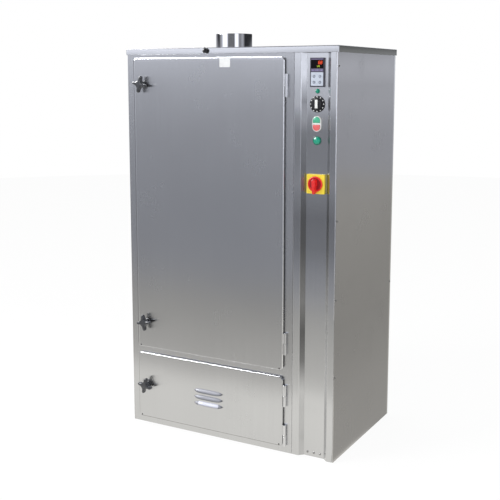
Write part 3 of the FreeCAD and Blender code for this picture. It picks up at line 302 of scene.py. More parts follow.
lit = add_node(tree, "ShaderNodeBsdfDiffuse", {"Color": (0.93, 0.93, 0.92, 1)})
glow = add_node(tree, "ShaderNodeEmission", {"Color": (1, 1, 1, 1), "Strength": BACKDROP_LIGHT})
picture = add_node(tree, "ShaderNodeEmission", {"Color": mirrored, "Strength": 1.0})
seen = maths(tree, "MULTIPLY", not_mirrored(tree, rays), BACKDROP_SHARE)
surface = mix_shaders(tree, seen, lit, glow)
surface = mix_shaders(tree, rays.outputs["Is Glossy Ray"], surface, picture)
add_node(tree, "ShaderNodeOutputMaterial", {0: surface.outputs[0]})
floor_mesh.materials.append(paper)
print("floor painted with", len(tree.nodes), "nodes")

# %% [markdown]
# ## Shared effects
# Steel grain, the marks that hands leave, and the fine texture of moulded plastic return in many
# materials, so each is one node group with named inputs. A group gives values only; the shader
# that uses them stays in the material.

# %% A node group with named inputs and outputs
def new_group(name, inputs, outputs, kind="ShaderNodeTree"):
    """Starts a node group; returns the tree with its input and output nodes."""
    group = bpy.data.node_groups.new(name, kind)
    for label, socket_type, value in inputs:
        socket = group.interface.new_socket(label, in_out="INPUT", socket_type=socket_type)
        if value is not None:
            socket.default_value = value
    for label, socket_type in outputs:
        group.interface.new_socket(label, in_out="OUTPUT", socket_type=socket_type)
    return group, group.nodes.new("NodeGroupInput"), group.nodes.new("NodeGroupOutput")


FLOAT, VECTOR = "NodeSocketFloat", "NodeSocketVector"

# %% Steel grain
# Grinding leaves long fine lines. Noise stretched along the grain gives them, in three widths:
# hair lines, bands a few millimetres wide, and the slow unevenness of a large sheet.
grain, given, result = new_group(
    "steel_grain",
    [("Vector", VECTOR, None), ("Stretch", VECTOR, (1.0, 1.0, 0.02)), ("Roughness", FLOAT, 0.25),
     ("Spread", FLOAT, 0.1)],
    [("Tone", FLOAT), ("Roughness", FLOAT), ("Height", FLOAT), ("Wave", FLOAT)],
)
along = vectors(grain, "MULTIPLY", given.outputs["Vector"], given.outputs["Stretch"])
hair = noise(grain, along, 1400.0, 2.0)
bands = noise(grain, along, 190.0, 3.0)
wave = noise(grain, given.outputs["Vector"], 3.2, 1.0)
lines = maths(grain, "ADD", maths(grain, "MULTIPLY", hair, 0.5), maths(grain, "MULTIPLY", bands, 0.5))
tone = maths(grain, "ADD", 0.94, maths(grain, "MULTIPLY", lines, 0.12))
tone = maths(grain, "MULTIPLY", tone, maths(grain, "ADD", 0.95, maths(grain, "MULTIPLY", wave, 0.10)))
uneven = maths(grain, "SUBTRACT", maths(grain, "ADD", lines, maths(grain, "MULTIPLY", wave, 0.6)), 0.8)
spread = maths(grain, "MULTIPLY", uneven, given.outputs["Spread"])
rough = maths(grain, "ADD", given.outputs["Roughness"], spread, clamp=True)
for label, value in (("Tone", tone), ("Roughness", rough), ("Height", lines), ("Wave", wave)):
    grain.links.new(value, result.inputs[label])
print("steel grain has", len(grain.nodes), "nodes")

# %% Marks of handling
# Wiped-off finger marks and drying stains: soft patches that are a little rougher and duller.
marks, given, result = new_group(
    "handling_marks",
    [("Vector", VECTOR, None), ("Size", FLOAT, 9.0), ("Amount", FLOAT, 0.1)],
    [("Mask", FLOAT)],
)
cloud = noise(marks, given.outputs["Vector"], given.outputs["Size"], 5.0, Roughness=0.6)
soft = add_node(marks, "ShaderNodeMapRange", {0: cloud, 1: 0.5, 2: 0.75}, interpolation_type="SMOOTHSTEP")
marks.links.new(maths(marks, "MULTIPLY", soft.outputs[0], given.outputs["Amount"]), result.inputs["Mask"])
print("handling marks have", len(marks.nodes), "nodes")

# %% Patches of painted light and shade
# A painted highlight along an edge, or painted shade on a wall of a fold that faces away from the light,
# makes a box of the sheet lighter or darker. The mask is 1 inside a box of the object and 0 outside it.
patches, given, result = new_group(
    "box_of_painted_light",
    [("Vector", VECTOR, (0, 0, 0)), ("Low", VECTOR, (0, 0, 0)), ("High", VECTOR, (0, 0, 0))],
    [("Mask", FLOAT)],
)
over = vectors(patches, "SUBTRACT", given.outputs["Vector"], given.outputs["Low"])
under = vectors(patches, "SUBTRACT", given.outputs["High"], given.outputs["Vector"])
room_left = vectors(patches, "MINIMUM", over, under)
x_room, y_room, z_room = add_node(patches, "ShaderNodeSeparateXYZ", {0: room_left}).outputs
least = maths(patches, "MINIMUM", maths(patches, "MINIMUM", x_room, y_room), z_room)
patches.links.new(maths(patches, "GREATER_THAN", least, 0.0), result.inputs["Mask"])
print("patches can shade a box of a surface")

# %% Moulded plastic
# A mould is spark-eroded to a fine matt texture, which the plastic copies.
mould, given, result = new_group(
    "moulded_texture",
    [("Vector", VECTOR, None), ("Grain", FLOAT, 1500.0), ("Roughness", FLOAT, 0.4)],
    [("Tone", FLOAT), ("Roughness", FLOAT), ("Height", FLOAT)],
)
pits = noise(mould, given.outputs["Vector"], given.outputs["Grain"], 2.0)
slow = noise(mould, given.outputs["Vector"], 60.0, 2.0)
tone = maths(mould, "ADD", 0.92, maths(mould, "MULTIPLY", slow, 0.16))
change = maths(mould, "MULTIPLY", maths(mould, "SUBTRACT", slow, 0.5), 0.2)
rough = maths(mould, "ADD", given.outputs["Roughness"], change, clamp=True)
for label, value in (("Tone", tone), ("Roughness", rough), ("Height", pits)):
    mould.links.new(value, result.inputs[label])
print("groups:", [g.name for g in bpy.data.node_groups])

# %% [markdown]
# ## Finishes
# The sheets are ground along their length, so highlights smear across the grain. The door, frame
# and column sheets have an upright grain, the cover a level one. Each finish below is one
# Principled shader fed by the shared groups.

# %% Brushed and rolled steels
# A belt paints reflections into the steel's colour as a factor at each height. A belt's height is in metres,
# up to TALL. Its factor is a share of BRIGHTEST, where the sheet keeps its own colour.
TALL, BRIGHTEST = 1.5, 1.3
DULLED, RELIEF = 0.35, 0.0002


def steel(name, colour, roughness, stretch, anisotropy=0.0, spread=0.06, lines=0.02, wave=0.0, dull=0.03,
          lean=0.0, painted_patches=(), belts=(), strips=()):
    """A bare metal whose grain is stretched along one axis of the object.

    painted_patches are boxes of another colour that paint highlights and shade, belts a factor at each
    height that paints reflections into the colour, and strips boxes with painted belts of their own."""
    material = bpy.data.materials.new(name)
    tree = new_tree(material)
    where = add_node(tree, "ShaderNodeTexCoord").outputs["Object"]
    rule = add_node(tree, "ShaderNodeGroup", {"Vector": where, "Stretch": stretch, "Roughness": roughness,
                                              "Spread": spread}, node_tree=grain)
    hands = add_node(tree, "ShaderNodeGroup", {"Vector": where, "Amount": dull}, node_tree=marks)
    dulled = maths(tree, "MULTIPLY", hands.outputs["Mask"], DULLED)
    tone = maths(tree, "SUBTRACT", rule.outputs["Tone"], dulled)
    base = mix(tree, 1.0, colour, tone, "MULTIPLY")
    rising = add_node(tree, "ShaderNodeSeparateXYZ", {0: where}).outputs["Z"]

    def belted(plain, stops):
        share = maths(tree, "DIVIDE", rising, TALL, clamp=True)
        factor = ramp(tree, share, [(z / TALL, k / BRIGHTEST) for z, k in stops])
        return mix(tree, 1.0, plain, factor, "MULTIPLY")

    def within(low_corner, high_corner):
        box = {"Vector": where, "Low": low_corner, "High": high_corner}
        return add_node(tree, "ShaderNodeGroup", box, node_tree=patches).outputs["Mask"]

    if belts:
        base = belted(base, belts)
    for low_corner, high_corner, stops in strips:
        base = mix(tree, within(low_corner, high_corner), base, belted(base, stops))
    for low_corner, high_corner, colour_there in painted_patches:
        base = mix(tree, within(low_corner, high_corner), base, colour_there)
    rough = maths(tree, "ADD", rule.outputs["Roughness"], hands.outputs["Mask"], clamp=True)
    bump = add_node(tree, "ShaderNodeBump", {"Strength": lines, "Distance": RELIEF,
                                             "Height": rule.outputs["Height"]})
    for distance, level in ((wave, rule.outputs["Wave"]), (lean, rising)):
        if distance:
            bump = add_node(tree, "ShaderNodeBump", {"Strength": 1.0, "Distance": distance, "Height": level,
                                                     "Normal": bump.outputs[0]})
    shader = add_node(tree, "ShaderNodeBsdfPrincipled", {"Base Color": base, "Roughness": rough,
                                                         "Normal": bump.outputs[0]})
    shader.inputs["Metallic"].default_value = 1.0
    if anisotropy:
        shader.inputs["Anisotropic"].default_value = anisotropy
        tangent = add_node(tree, "ShaderNodeTangent", direction_type="RADIAL", axis="Z")
        tree.links.new(tangent.outputs[0], shader.inputs["Tangent"])
    add_node(tree, "ShaderNodeOutputMaterial", {0: shader.outputs[0]})
    return material


print("steels have belts up to", TALL, "m")

# %% The sheets and the light and shade painted on them
UPRIGHT, LEVEL, EVEN = (1.0, 1.0, 0.012), (0.012, 1.0, 1.0), (1.0, 1.0, 1.0)
cover_low, cover_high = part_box("top_cover")
lower_low, lower_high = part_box("lower_door_outer_pan")
column_low, column_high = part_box("control_column")
side_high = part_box("right_side_panel")[1]
main_low, main_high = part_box("main_door_outer_pan")
FACE = main_low.y
lowest_hood = lower_low.z + 109 * MM
one = Vector((1, 1, 1))


def edge_in_shade(low, high):
    """The box of a door's right-hand wall, which faces away from the light."""
    return (high.x - 0.3 * MM, FACE + 3.2 * MM, low.z), high + one, (0.13, 0.13, 0.135)


def upright_steel(name, painted_patches=()):
    """The plain sheet of the doors and the frame."""
    return steel(name, (0.585, 0.59, 0.60), 0.25, UPRIGHT, anisotropy=0.85, wave=0.0010, painted_patches=painted_patches)


# Painted shade on the cover: its right-hand lip is painted dark, and so is a thin line along the top of its
# front lip.
COVER_PAINTED_SHADE = [
    ((cover_high.x - 0.4 * MM, cover_low.y + 1.5 * MM, 0), cover_high + one, (0.25, 0.25, 0.22)),
    ((-1, -1, cover_high.z - 2.4 * MM), (1, cover_low.y + 0.7 * MM, 2), (0.10, 0.10, 0.105)),
]
# Painted shade on the lower door: dark lines along its bottom fold and its left fold, its top wall and the
# front of its top round painted darker, and its right-hand wall in painted shade.
LOWER_DOOR_PAINTED_SHADE = [
    ((lower_low.x + 1.0 * MM, -1, lower_low.z - 1), (lower_high.x - 6 * MM, 1, lower_low.z + 3.2 * MM),
     (0.36, 0.36, 0.355)),
    ((lower_low.x - 1, -1, lower_low.z), (lower_low.x + 3.2 * MM, 1, lower_high.z - 6 * MM),
     (0.44, 0.44, 0.44)),
    ((-1, FACE + 3.0 * MM, lower_high.z - 0.6 * MM), (lower_high.x - 8 * MM, 1, 1), (0.22, 0.22, 0.22)),
    ((-1, -1, lower_high.z - 3.4 * MM), (lower_high.x - 8 * MM, 1, lower_high.z - 1.3 * MM),
     (0.30, 0.30, 0.30)),
    edge_in_shade(lower_low, lower_high),
]
# Painted light on the main door: painted highlights along its top round and its right round, a painted dark
# line of shade along its left fold with a painted highlight beside it, and its right-hand wall in painted
# shade.
MAIN_DOOR_PAINTED_LIGHT = [
    ((main_low.x + 12 * MM, -1, main_high.z - 4.0 * MM), main_high + one, (0.99, 0.99, 1.0)),
    ((main_high.x - 3.6 * MM, -1, main_low.z + 9 * MM), main_high + one, (0.90, 0.90, 0.91)),
    ((-1, -1, main_low.z + 6 * MM), (main_low.x + 4.6 * MM, 1, main_high.z - 5 * MM), (0.34, 0.34, 0.35)),
    ((main_low.x + 4.6 * MM, -1, main_low.z + 8 * MM), (main_low.x + 7.6 * MM, 1, main_high.z - 8 * MM),
     (0.72, 0.725, 0.735)),
    edge_in_shade(main_low, main_high),
]
# Painted highlights on the column: a bright line down its front right corner above half a metre, and one down
# its left edge at the frame.
COLUMN_PAINTED_HIGHLIGHTS = [
    ((column_high.x - 3.2 * MM, -1, 0.5), (1, column_low.y + 6 * MM, 2), (0.97, 0.97, 0.98)),
    ((-1, -1, 0), (column_low.x + 2.4 * MM, column_low.y + 3 * MM, 2), (0.92, 0.92, 0.94)),
]
# Painted reflections: belts that make the side sheets, the column and the column's left flank lighter or darker
# at each height, as the steel mirrors the room.
SIDE_PAINTED_REFLECTION = [(0.0, 1.3), (0.2, 1.26), (0.33, 1.14), (0.46, 1.06), (0.6, 1.08), (0.75, 1.16), (0.9, 1.27),
              (1.12, 1.3), (1.21, 1.26), (1.27, 1.10), (1.34, 1.22), (1.5, 1.3)]
COLUMN_PAINTED_REFLECTION = [(0.0, 1.0), (0.17, 1.02), (0.27, 1.18), (0.46, 1.20), (0.55, 1.16), (0.64, 0.98), (0.73, 0.72),
                (0.835, 0.64), (0.95, 0.90), (1.02, 0.78), (1.12, 0.72), (1.17, 0.95), (1.21, 1.3), (1.5, 1.3)]
FLANK_PAINTED_REFLECTION = [(0.0, 1.10), (0.13, 1.10), (0.23, 1.05), (0.30, 0.60), (0.34, 0.39), (0.44, 0.30), (0.55, 0.62),
               (0.65, 0.61), (0.76, 0.60), (0.88, 0.74), (1.03, 1.10), (1.16, 1.10), (1.22, 0.55),
               (1.27, 0.85), (1.31, 1.2), (1.5, 1.3)]
flank_painted_reflection = ((column_low.x + 27 * MM, -1, -1), (column_low.x + 41 * MM, 1, 2), FLANK_PAINTED_REFLECTION)
# A painted highlight: a lighter strip along the back edge of the side sheets.
back_edge_highlight = ((-1, side_high.y - 11 * MM, 0), (1, 1, 2), (0.86, 0.86, 0.85))
# A painted highlight on the middle of the lowest hood.
lowest_hood_highlight = ((lower_low.x + 268 * MM, -1, 0), (lower_low.x + 352 * MM, 1, lowest_hood), (0.49, 0.49, 0.52))
finishes = {
    "stainless": upright_steel("brushed_upright"),
    "stainless_level": steel("brushed_level", (0.72, 0.725, 0.74), 0.21, LEVEL, lean=-0.006,
                             painted_patches=COVER_PAINTED_SHADE),
    "lower_steel": upright_steel("brushed_lower_door", LOWER_DOOR_PAINTED_SHADE),
    "side_steel": steel("brushed_side", (0.625, 0.618, 0.612), 0.25, UPRIGHT, anisotropy=0.88, spread=0.08,
                        wave=0.0010, painted_patches=[back_edge_highlight], belts=SIDE_PAINTED_REFLECTION),
    "column_steel": steel("brushed_column", (0.76, 0.767, 0.78), 0.23, UPRIGHT, anisotropy=0.78, wave=0.0010,
                          lean=-0.004, painted_patches=COLUMN_PAINTED_HIGHLIGHTS, belts=COLUMN_PAINTED_REFLECTION, strips=[flank_painted_reflection]),
    # The hoods are painted darker than the sheet they are pressed from: painted shade and reflection of a dark
    # ceiling.
    "hood_steel": steel("hoods_painted_dark", (0.245, 0.245, 0.255), 0.30, LEVEL, spread=0.03,
                        painted_patches=[lowest_hood_highlight]),
    "main_steel": upright_steel("brushed_main_door", MAIN_DOOR_PAINTED_LIGHT),
    "turned_steel": steel("turned_steel", (0.66, 0.665, 0.68), 0.16, EVEN, spread=0.05, dull=0.02),
    # The rivet heads are darker than the sheet: painted shade for the dark dots they show. Their roughness is
    # their own.
    "rivet_steel_painted_dark": steel("rivets_painted_dark", (0.34, 0.335, 0.33), 0.42, EVEN, spread=0.05, dull=0.1),
    "lining": steel("rolled_lining", (0.55, 0.55, 0.54), 0.34, (0.3, 0.3, 0.3), spread=0.12, dull=0.12),
    "polished": steel("mirror_polish", (0.80, 0.80, 0.81), 0.045, (1.0, 1.0, 0.05), spread=0.02, lines=0.004,
                      dull=0.01),
    "heater": steel("heated_tube", (0.24, 0.22, 0.21), 0.38, EVEN, spread=0.15, dull=0.1),
    "brass": steel("probe_brass", (0.70, 0.55, 0.28), 0.25, EVEN),
}
print("steels:", sorted(finishes))

# %% Plastics, rubber and wool
def plastic(name, colour, roughness=0.35, grain_size=1500.0, height=0.08, coat=0.0, glow=0.0, specular=0.5):
    """A moulded plastic with its fine texture; a lit one also gives off its own colour."""
    material = bpy.data.materials.new(name)
    tree = new_tree(material)
    where = add_node(tree, "ShaderNodeTexCoord").outputs["Object"]
    rule = add_node(tree, "ShaderNodeGroup", {"Vector": where, "Grain": grain_size, "Roughness": roughness},
                    node_tree=mould)
    base = mix(tree, 1.0, colour, rule.outputs["Tone"], "MULTIPLY")
    bump = add_node(tree, "ShaderNodeBump", {"Strength": height, "Distance": RELIEF,
                                             "Height": rule.outputs["Height"]})
    shader = add_node(tree, "ShaderNodeBsdfPrincipled", {
        "Base Color": base, "Roughness": rule.outputs["Roughness"], "Normal": bump.outputs[0]})
    shader.inputs["Coat Weight"].default_value = coat
    shader.inputs["Specular IOR Level"].default_value = specular
    if glow:
        tree.links.new(base, shader.inputs["Emission Color"])
        shader.inputs["Emission Strength"].default_value = glow
    add_node(tree, "ShaderNodeOutputMaterial", {0: shader.outputs[0]})
    return material


finishes.update({
    "grip": plastic("charcoal_grip", (0.045, 0.047, 0.053), 0.26, coat=0.35),
    "black_plastic": plastic("black_moulding", (0.012, 0.012, 0.014), 0.28),
    "bezel": plastic("bezel_moulding", (0.030, 0.026, 0.040), 0.35),
    "strip": plastic("bezel_strip", (0.14, 0.12, 0.21), 0.35),
    "lilac": plastic("strip_print", (0.33, 0.29, 0.52), 0.35),
    "grey_plastic": plastic("grey_moulding", (0.44, 0.46, 0.50), 0.4),
    "keypad": plastic("keypad_film", (0.58, 0.63, 0.73), 0.32),
    "key_ring": plastic("key_print", (0.10, 0.11, 0.17), 0.4),
    "window": plastic("display_glass", (0.003, 0.002, 0.003), 0.25, height=0.0, specular=0.12),
    "red_digits": plastic("red_digits", (0.95, 0.09, 0.03), 0.4, height=0.0, glow=0.7, specular=0.1),
    "green_digits": plastic("green_digits", (0.55, 0.70, 0.05), 0.4, height=0.0, glow=0.45, specular=0.1),
    "white": plastic("white_moulding", (0.90, 0.90, 0.89), 0.25, coat=0.3),
    "green": plastic("green_lens", (0.006, 0.30, 0.185), 0.10, height=0.01, coat=1.0, glow=0.15),
    "pilot": plastic("pilot_moulding", (0.004, 0.27, 0.17), 0.2, coat=0.6),
    "lamp_ring": plastic("lamp_bezel", (0.02, 0.16, 0.12), 0.2, coat=0.5),
    "green_button": plastic("green_cap", (0.08, 0.48, 0.29), 0.22, coat=0.6),
    "red_button": plastic("red_cap", (0.78, 0.15, 0.15), 0.22, coat=0.6),
    "red": plastic("red_handle", (0.80, 0.02, 0.02), 0.26, coat=0.5),
    # The handle's red darkened as painted shade, for the floor of its dish.
    "red_in_painted_shade": plastic("red_in_painted_shade", (0.33, 0.006, 0.01), 0.35),
    "yellow": plastic("yellow_plate", (0.95, 0.74, 0.05), 0.3, coat=0.4),
    "label": plastic("blank_film", (0.86, 0.87, 0.88), 0.3),
    "seal": plastic("silicone_seal", (0.03, 0.03, 0.032), 0.55, grain_size=700.0),
    "wool": plastic("mineral_wool", (0.55, 0.47, 0.25), 0.9, grain_size=420.0, height=0.9),
})
print("finishes:", len(finishes))

# %% [markdown]
# ## Ways to make a piece
# Nearly every part here is folded sheet, a turned part or a moulding with rounded edges. So four
# small makers cover them: loops stacked into a body, a profile turned round an axis, a strip
# bent along a path, and a copy of a CAD solid with its sharp edges eased.

# %% Finish a mesh and hang it on its body
MERGE = 1e-6


def in_mm(*pairs):
    """Pairs given in millimetres, as metres."""
    return [(a * MM, b * MM) for a, b in pairs]


def middle_of(low, high):
    """The middle of a box, as (x, z)."""
    return (low.x + high.x) / 2, (low.z + high.z) / 2


def in_scene(mesh, name="holder"):
    """A mesh as an object of the scene."""
    thing = bpy.data.objects.new(name, mesh)
    bpy.context.scene.collection.objects.link(thing)
    return thing


def baked(holder):
    """The plain mesh of an object with its modifiers applied. The object goes."""
    graph = bpy.context.evaluated_depsgraph_get()
    mesh = bpy.data.meshes.new_from_object(holder.evaluated_get(graph), preserve_all_data_layers=True,
                                           depsgraph=graph)
    bpy.data.objects.remove(holder)
    return mesh


def settle(mesh, crease=35):
    """Gives large flat faces their own flat shading and lets small round ones blend."""
    for polygon in mesh.polygons:
        polygon.use_smooth = True
    mesh.set_sharp_from_angle(angle=math.radians(crease))
    holder = in_scene(mesh)
    weighted = holder.modifiers.new("weighted", "WEIGHTED_NORMAL")
    weighted.keep_sharp = True
    return baked(holder)


def add_piece(name, mesh, like, finish, replaces=True):
    """Adds a finished mesh that rides with the CAD node it is like, and stands for it."""
    mesh.materials.clear()
    mesh.materials.append(finishes[finish])
    thing = in_scene(mesh, name)
    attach(thing, home[like])
    if replaces:
        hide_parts(like)


def to_mesh(bm, name):
    """Ends a bmesh: merges doubles, turns the faces outwards and makes a mesh of it."""
    bmesh.ops.remove_doubles(bm, verts=bm.verts, dist=MERGE)
    bmesh.ops.recalc_face_normals(bm, faces=bm.faces)
    mesh = bpy.data.meshes.new(name)
    bm.to_mesh(mesh)
    bm.free()
    return mesh


def joined(meshes, name):
    """Several meshes as one."""
    bm = bmesh.new()
    for mesh in meshes:
        bm.from_mesh(mesh)
    mesh = bpy.data.meshes.new(name)
    bm.to_mesh(mesh)
    bm.free()
    return mesh


# %% Stack loops into a body
def skin(bm, rings, wrap=False, caps=False):
    """Quads between each ring of vertices and the next; caps close the first and the last."""
    pairs = list(zip(rings, rings[1:])) + ([(rings[-1], rings[0])] if wrap else [])
    for a, b in pairs:
        for i in range(len(a)):
            j = (i + 1) % len(a)
            bm.faces.new((a[i], a[j], b[j], b[i]))
    if caps:
        bm.faces.new(rings[0])
        bm.faces.new(rings[-1])


def inset(loop, distance):
    """A closed loop of (x, z) moved inwards; the loop runs anticlockwise."""
    if not distance:
        return loop
    out, n = [], len(loop)
    for i in range(n):
        (ax, az), (bx, bz), (cx, cz) = loop[i - 1], loop[i], loop[(i + 1) % n]
        first = Vector((bx - ax, bz - az)).normalized()
        second = Vector((cx - bx, cz - bz)).normalized()
        n1, n2 = Vector((-first.y, first.x)), Vector((-second.y, second.x))
        move = (n1 + n2) * (distance / (1 + n1.dot(n2)))
        out.append((bx + move.x, bz + move.y))
    return out


def layered(bm, loop, layers):
    """Rings of vertices from one (x, z) loop: each layer is (inset, y)."""
    return [[bm.verts.new((a, level, b)) for a, b in inset(loop, distance)] for distance, level in layers]


def stacked(name, loop, layers):
    """A closed body from one (x, z) loop and its layers."""
    bm = bmesh.new()
    skin(bm, layered(bm, loop, layers), caps=True)
    return to_mesh(bm, name)


def round_box(x, z, radius, steps=6):
    """An anticlockwise rectangle of (x, z) with round corners."""
    loop = []
    for cx, cz, start in ((x[1] - radius, z[0] + radius, -90), (x[1] - radius, z[1] - radius, 0),
                          (x[0] + radius, z[1] - radius, 90), (x[0] + radius, z[0] + radius, 180)):
        for i in range(steps + 1):
            a = math.radians(start + 90 * i / steps)
            loop.append((cx + radius * math.cos(a), cz + radius * math.sin(a)))
    return loop


def circle(x, z, radius, steps=16):
    """An anticlockwise circle of (x, z)."""
    turns = [i * math.tau / steps for i in range(steps)]
    return [(x + radius * math.cos(a), z + radius * math.sin(a)) for a in turns]


# %% Turn a profile round an axis
AXES = {
    "x": Matrix.Rotation(math.radians(90), 4, "Y"),
    "y": Matrix.Rotation(math.radians(90), 4, "X"),
    "z": Matrix.Identity(4),
}
ON_AXIS = 1e-7


def turned(name, profile, centre, axis="y", segments=48):
    """A body turned from (radius, along) pairs. Along y it grows towards the front."""
    bm = bmesh.new()
    turns = [i * math.tau / segments for i in range(segments)]
    rings = []
    for radius, along in profile:
        if radius < ON_AXIS:
            rings.append([bm.verts.new((0, 0, along))])
        else:
            rings.append([bm.verts.new((radius * math.cos(a), radius * math.sin(a), along)) for a in turns])
    for a, b in zip(rings, rings[1:]):
        if len(a) == 1 or len(b) == 1:
            tip, ring = (a[0], b) if len(a) == 1 else (b[0], a)
            for i in range(len(ring)):
                bm.faces.new((tip, ring[i], ring[(i + 1) % len(ring)]))
        else:
            skin(bm, [a, b])
    for ring in (rings[0], rings[-1]):
        if len(ring) > 1 and profile[0] != profile[-1]:
            bm.faces.new(ring)
    bmesh.ops.transform(bm, matrix=Matrix.Translation(centre) @ AXES[axis], verts=bm.verts)
    return to_mesh(bm, name)


def bar_profile(radius, low, high):
    """The profile of a plain rod from one end to the other."""
    return [(0, low), (radius, low), (radius, high), (0, high)]


# %% Ease the edges of a CAD solid
CAD_MERGE, NEARLY_FLAT, SHARP = 2e-6, math.radians(0.4), math.radians(40)


def eased(node, width, finish, crease=35):
    """Replaces a node with a copy whose sharp edges have a small round, as sheared steel has."""
    bm = bmesh.new()
    bm.from_mesh(nodes[node].data)
    bmesh.ops.remove_doubles(bm, verts=bm.verts, dist=CAD_MERGE)
    bmesh.ops.dissolve_limit(bm, angle_limit=NEARLY_FLAT, verts=bm.verts, edges=bm.edges)
    mesh = bpy.data.meshes.new(node)
    bm.to_mesh(mesh)
    bm.free()
    holder = in_scene(mesh)
    bevel = holder.modifiers.new("bevel", "BEVEL")
    bevel.width = width * MM
    bevel.segments = 2
    bevel.limit_method = "ANGLE"
    bevel.angle_limit = SHARP
    add_piece(f"{node}_eased", settle(baked(holder), crease), node, finish)


# %% [markdown]
# ## The plain sheets and the inside
# Side panels, back, liners, ladders, trays and rods keep the CAD solid's shape. A sheared edge
# is never knife-sharp, so each gets a small round that catches the light.

# %% Ease the sheets
for node in ("left_side_panel", "right_side_panel", "back_panel", "partition_wall", "base_plate"):
    eased(node, 0.5, "side_steel")
eased("front_frame", 0.5, "stainless")
for node in ("liner_left", "liner_right", "liner_back", "liner_roof", "rack_ladders", "drip_tray",
             "smoking_rods", "chip_tray", "main_door_inner_pan", "lower_door_inner_pan"):
    eased(node, 1.2 if node == "smoking_rods" else 0.4, "lining")
for node in ("chamber_heater", "chip_heater"):
    eased(node, 0.4, "heater")
for node in ("main_door_gasket", "lower_door_gasket"):
    eased(node, 2.0, "seal")
for node in ("hinge_frame_halves", "main_door_hinge_halves", "lower_door_hinge_halves"):
    eased(node, 0.8, "turned_steel")
for node, finish in (("temperature_probe", "brass"), ("timer_body", "black_plastic"),
                     ("contactor", "grey_plastic"), ("din_rail", "side_steel")):
    eased(node, 0.5, finish)

# %% Give the solids that stay their finish
KEPT = {"cabinet_insulation": "wool", "main_door_core": "wool", "hinge_pins": "turned_steel",
        "damper_blade": "turned_steel", "upper_latch_spindle": "turned_steel",
        "middle_latch_spindle": "turned_steel", "lower_latch_spindle": "turned_steel"}
for node, finish in KEPT.items():
    data = nodes[node].data
    data.materials.clear()
    data.materials.append(finishes[finish])
print("kept:", sorted(KEPT))

# %% [markdown]
# ## The doors' skins
# Each skin is one sheet, folded back along all four edges and rounded at the corners. That
# narrow round draws a bright line round a steel door, and painted highlights along the main door's top and
# right edges make that line brighter. Small relief holes end the lower fold. Loops stacked from the face over
# the round to the folded edge give exactly this, and the holes are cut as inner loops.

# %% A folded sheet with holes
SHEET = 1.5 * MM
DOOR_BEND, COVER_BEND = 3.0 * MM, 2.2 * MM


def edge_round(radius, level, sign=1, steps=5):
    """Layers that round a folded edge over, from the face at a level to the side."""
    return [(radius * (1 - math.sin(t)), level + sign * radius * (1 - math.cos(t)))
            for t in [math.pi / 2 * i / steps for i in range(steps + 1)]]


def fill_between(bm, loops, facing):
    """A flat face with holes, from vertex loops."""
    edges = []
    for loop in loops:
        for i in range(len(loop)):
            edges.append(bm.edges.get((loop[i], loop[i - 1])) or bm.edges.new((loop[i], loop[i - 1])))
    return bmesh.ops.triangle_fill(bm, use_beauty=True, edges=edges, normal=facing)


def close_with_holes(bm, rings, holes, front, back):
    """Closes the first ring at the front and the last at the back, with holes through both."""
    fronts = [[bm.verts.new((a, front, b)) for a, b in hole] for hole in holes]
    backs = [[bm.verts.new((a, back, b)) for a, b in hole] for hole in holes]
    for first, second in zip(fronts, backs):
        skin(bm, [first, second])
    fill_between(bm, [rings[0]] + fronts, (0, -1, 0))
    fill_between(bm, [rings[-1]] + backs, (0, 1, 0))


def door_skin(node, name, finish, holes):
    """One folded sheet: the face with its holes, the round, the edge and the inside."""
    low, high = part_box(node)
    loop = round_box((low.x, high.x), (low.z, high.z), 14 * MM, 8)
    layers = edge_round(DOOR_BEND, FACE)
    layers += [(0, high.y - 0.3 * MM), (0.3 * MM, high.y), (SHEET, high.y), (SHEET, FACE + SHEET)]
    bm = bmesh.new()
    rings = layered(bm, loop, layers)
    skin(bm, rings)
    close_with_holes(bm, rings, holes, FACE, FACE + SHEET)
    add_piece(name, settle(to_mesh(bm, name)), node, finish)


# %% Relief holes and the painted shade in them
HOLE_R, HOLE_IN, HOLE_UP = 2.8 * MM, 13.5 * MM, 2.9 * MM


def relief_holes(low, high):
    """Two small holes where the lower fold ends, beside the round corners."""
    return [circle(x, low.z + DOOR_BEND + HOLE_UP, HOLE_R) for x in (low.x + HOLE_IN, high.x - HOLE_IN)]


def fill_holes_with_shade(name, node, holes):
    """A near-black plug just behind the face fills each relief hole: a dark sheet as painted shade in the hole.
    """
    bm = bmesh.new()
    for hole in holes:
        rings = [[bm.verts.new((a, level, b)) for a, b in hole] for level in (FACE + 0.5 * MM, FACE + SHEET)]
        skin(bm, rings, caps=True)
    add_piece(name, settle(to_mesh(bm, name)), node, "seal", replaces=False)


main_holes, lower_holes = relief_holes(main_low, main_high), relief_holes(lower_low, lower_high)
door_skin("main_door_outer_pan", "main_door_skin", "main_steel", main_holes)
fill_holes_with_shade("main_door_sealant", "main_door_outer_pan", main_holes)

# %% [markdown]
# ## The louvres
# A louvre is one cut and one press: the sheet above the cut is pushed out into a hood that is
# open along its lower edge. All three are alike, so one hood is made and Geometry Nodes repeat
# it up the door; the skin gets the three openings behind them.

# %% Shape one hood
LOUVRES, LENGTH, HIGH, PITCH, PROUD = 3, 121 * MM, 15 * MM, 23.7 * MM, 7 * MM
HOOD_SHEET = 1.1 * MM
louvre_left = lower_low.x + 249.5 * MM
louvre_z = lower_low.z + 121 * MM - PITCH - HIGH / 2
STATIONS = [0.5 - 0.5 * math.cos(math.pi * i / 40) for i in range(41)]


def swell(u):
    """How far the hood is open at a share u of its length: full in the middle, nothing at its tips."""
    return max(0.0, 1 - abs(2 * u - 1) ** 5) ** 0.75


def louvre_edge(i, side):
    """The upper (1) or lower (-1) edge of louvre i, as (x, z) along its length."""
    middle = louvre_z + i * PITCH + HIGH / 2
    return [(louvre_left + u * LENGTH, middle + side * swell(u) * HIGH / 2) for u in STATIONS]


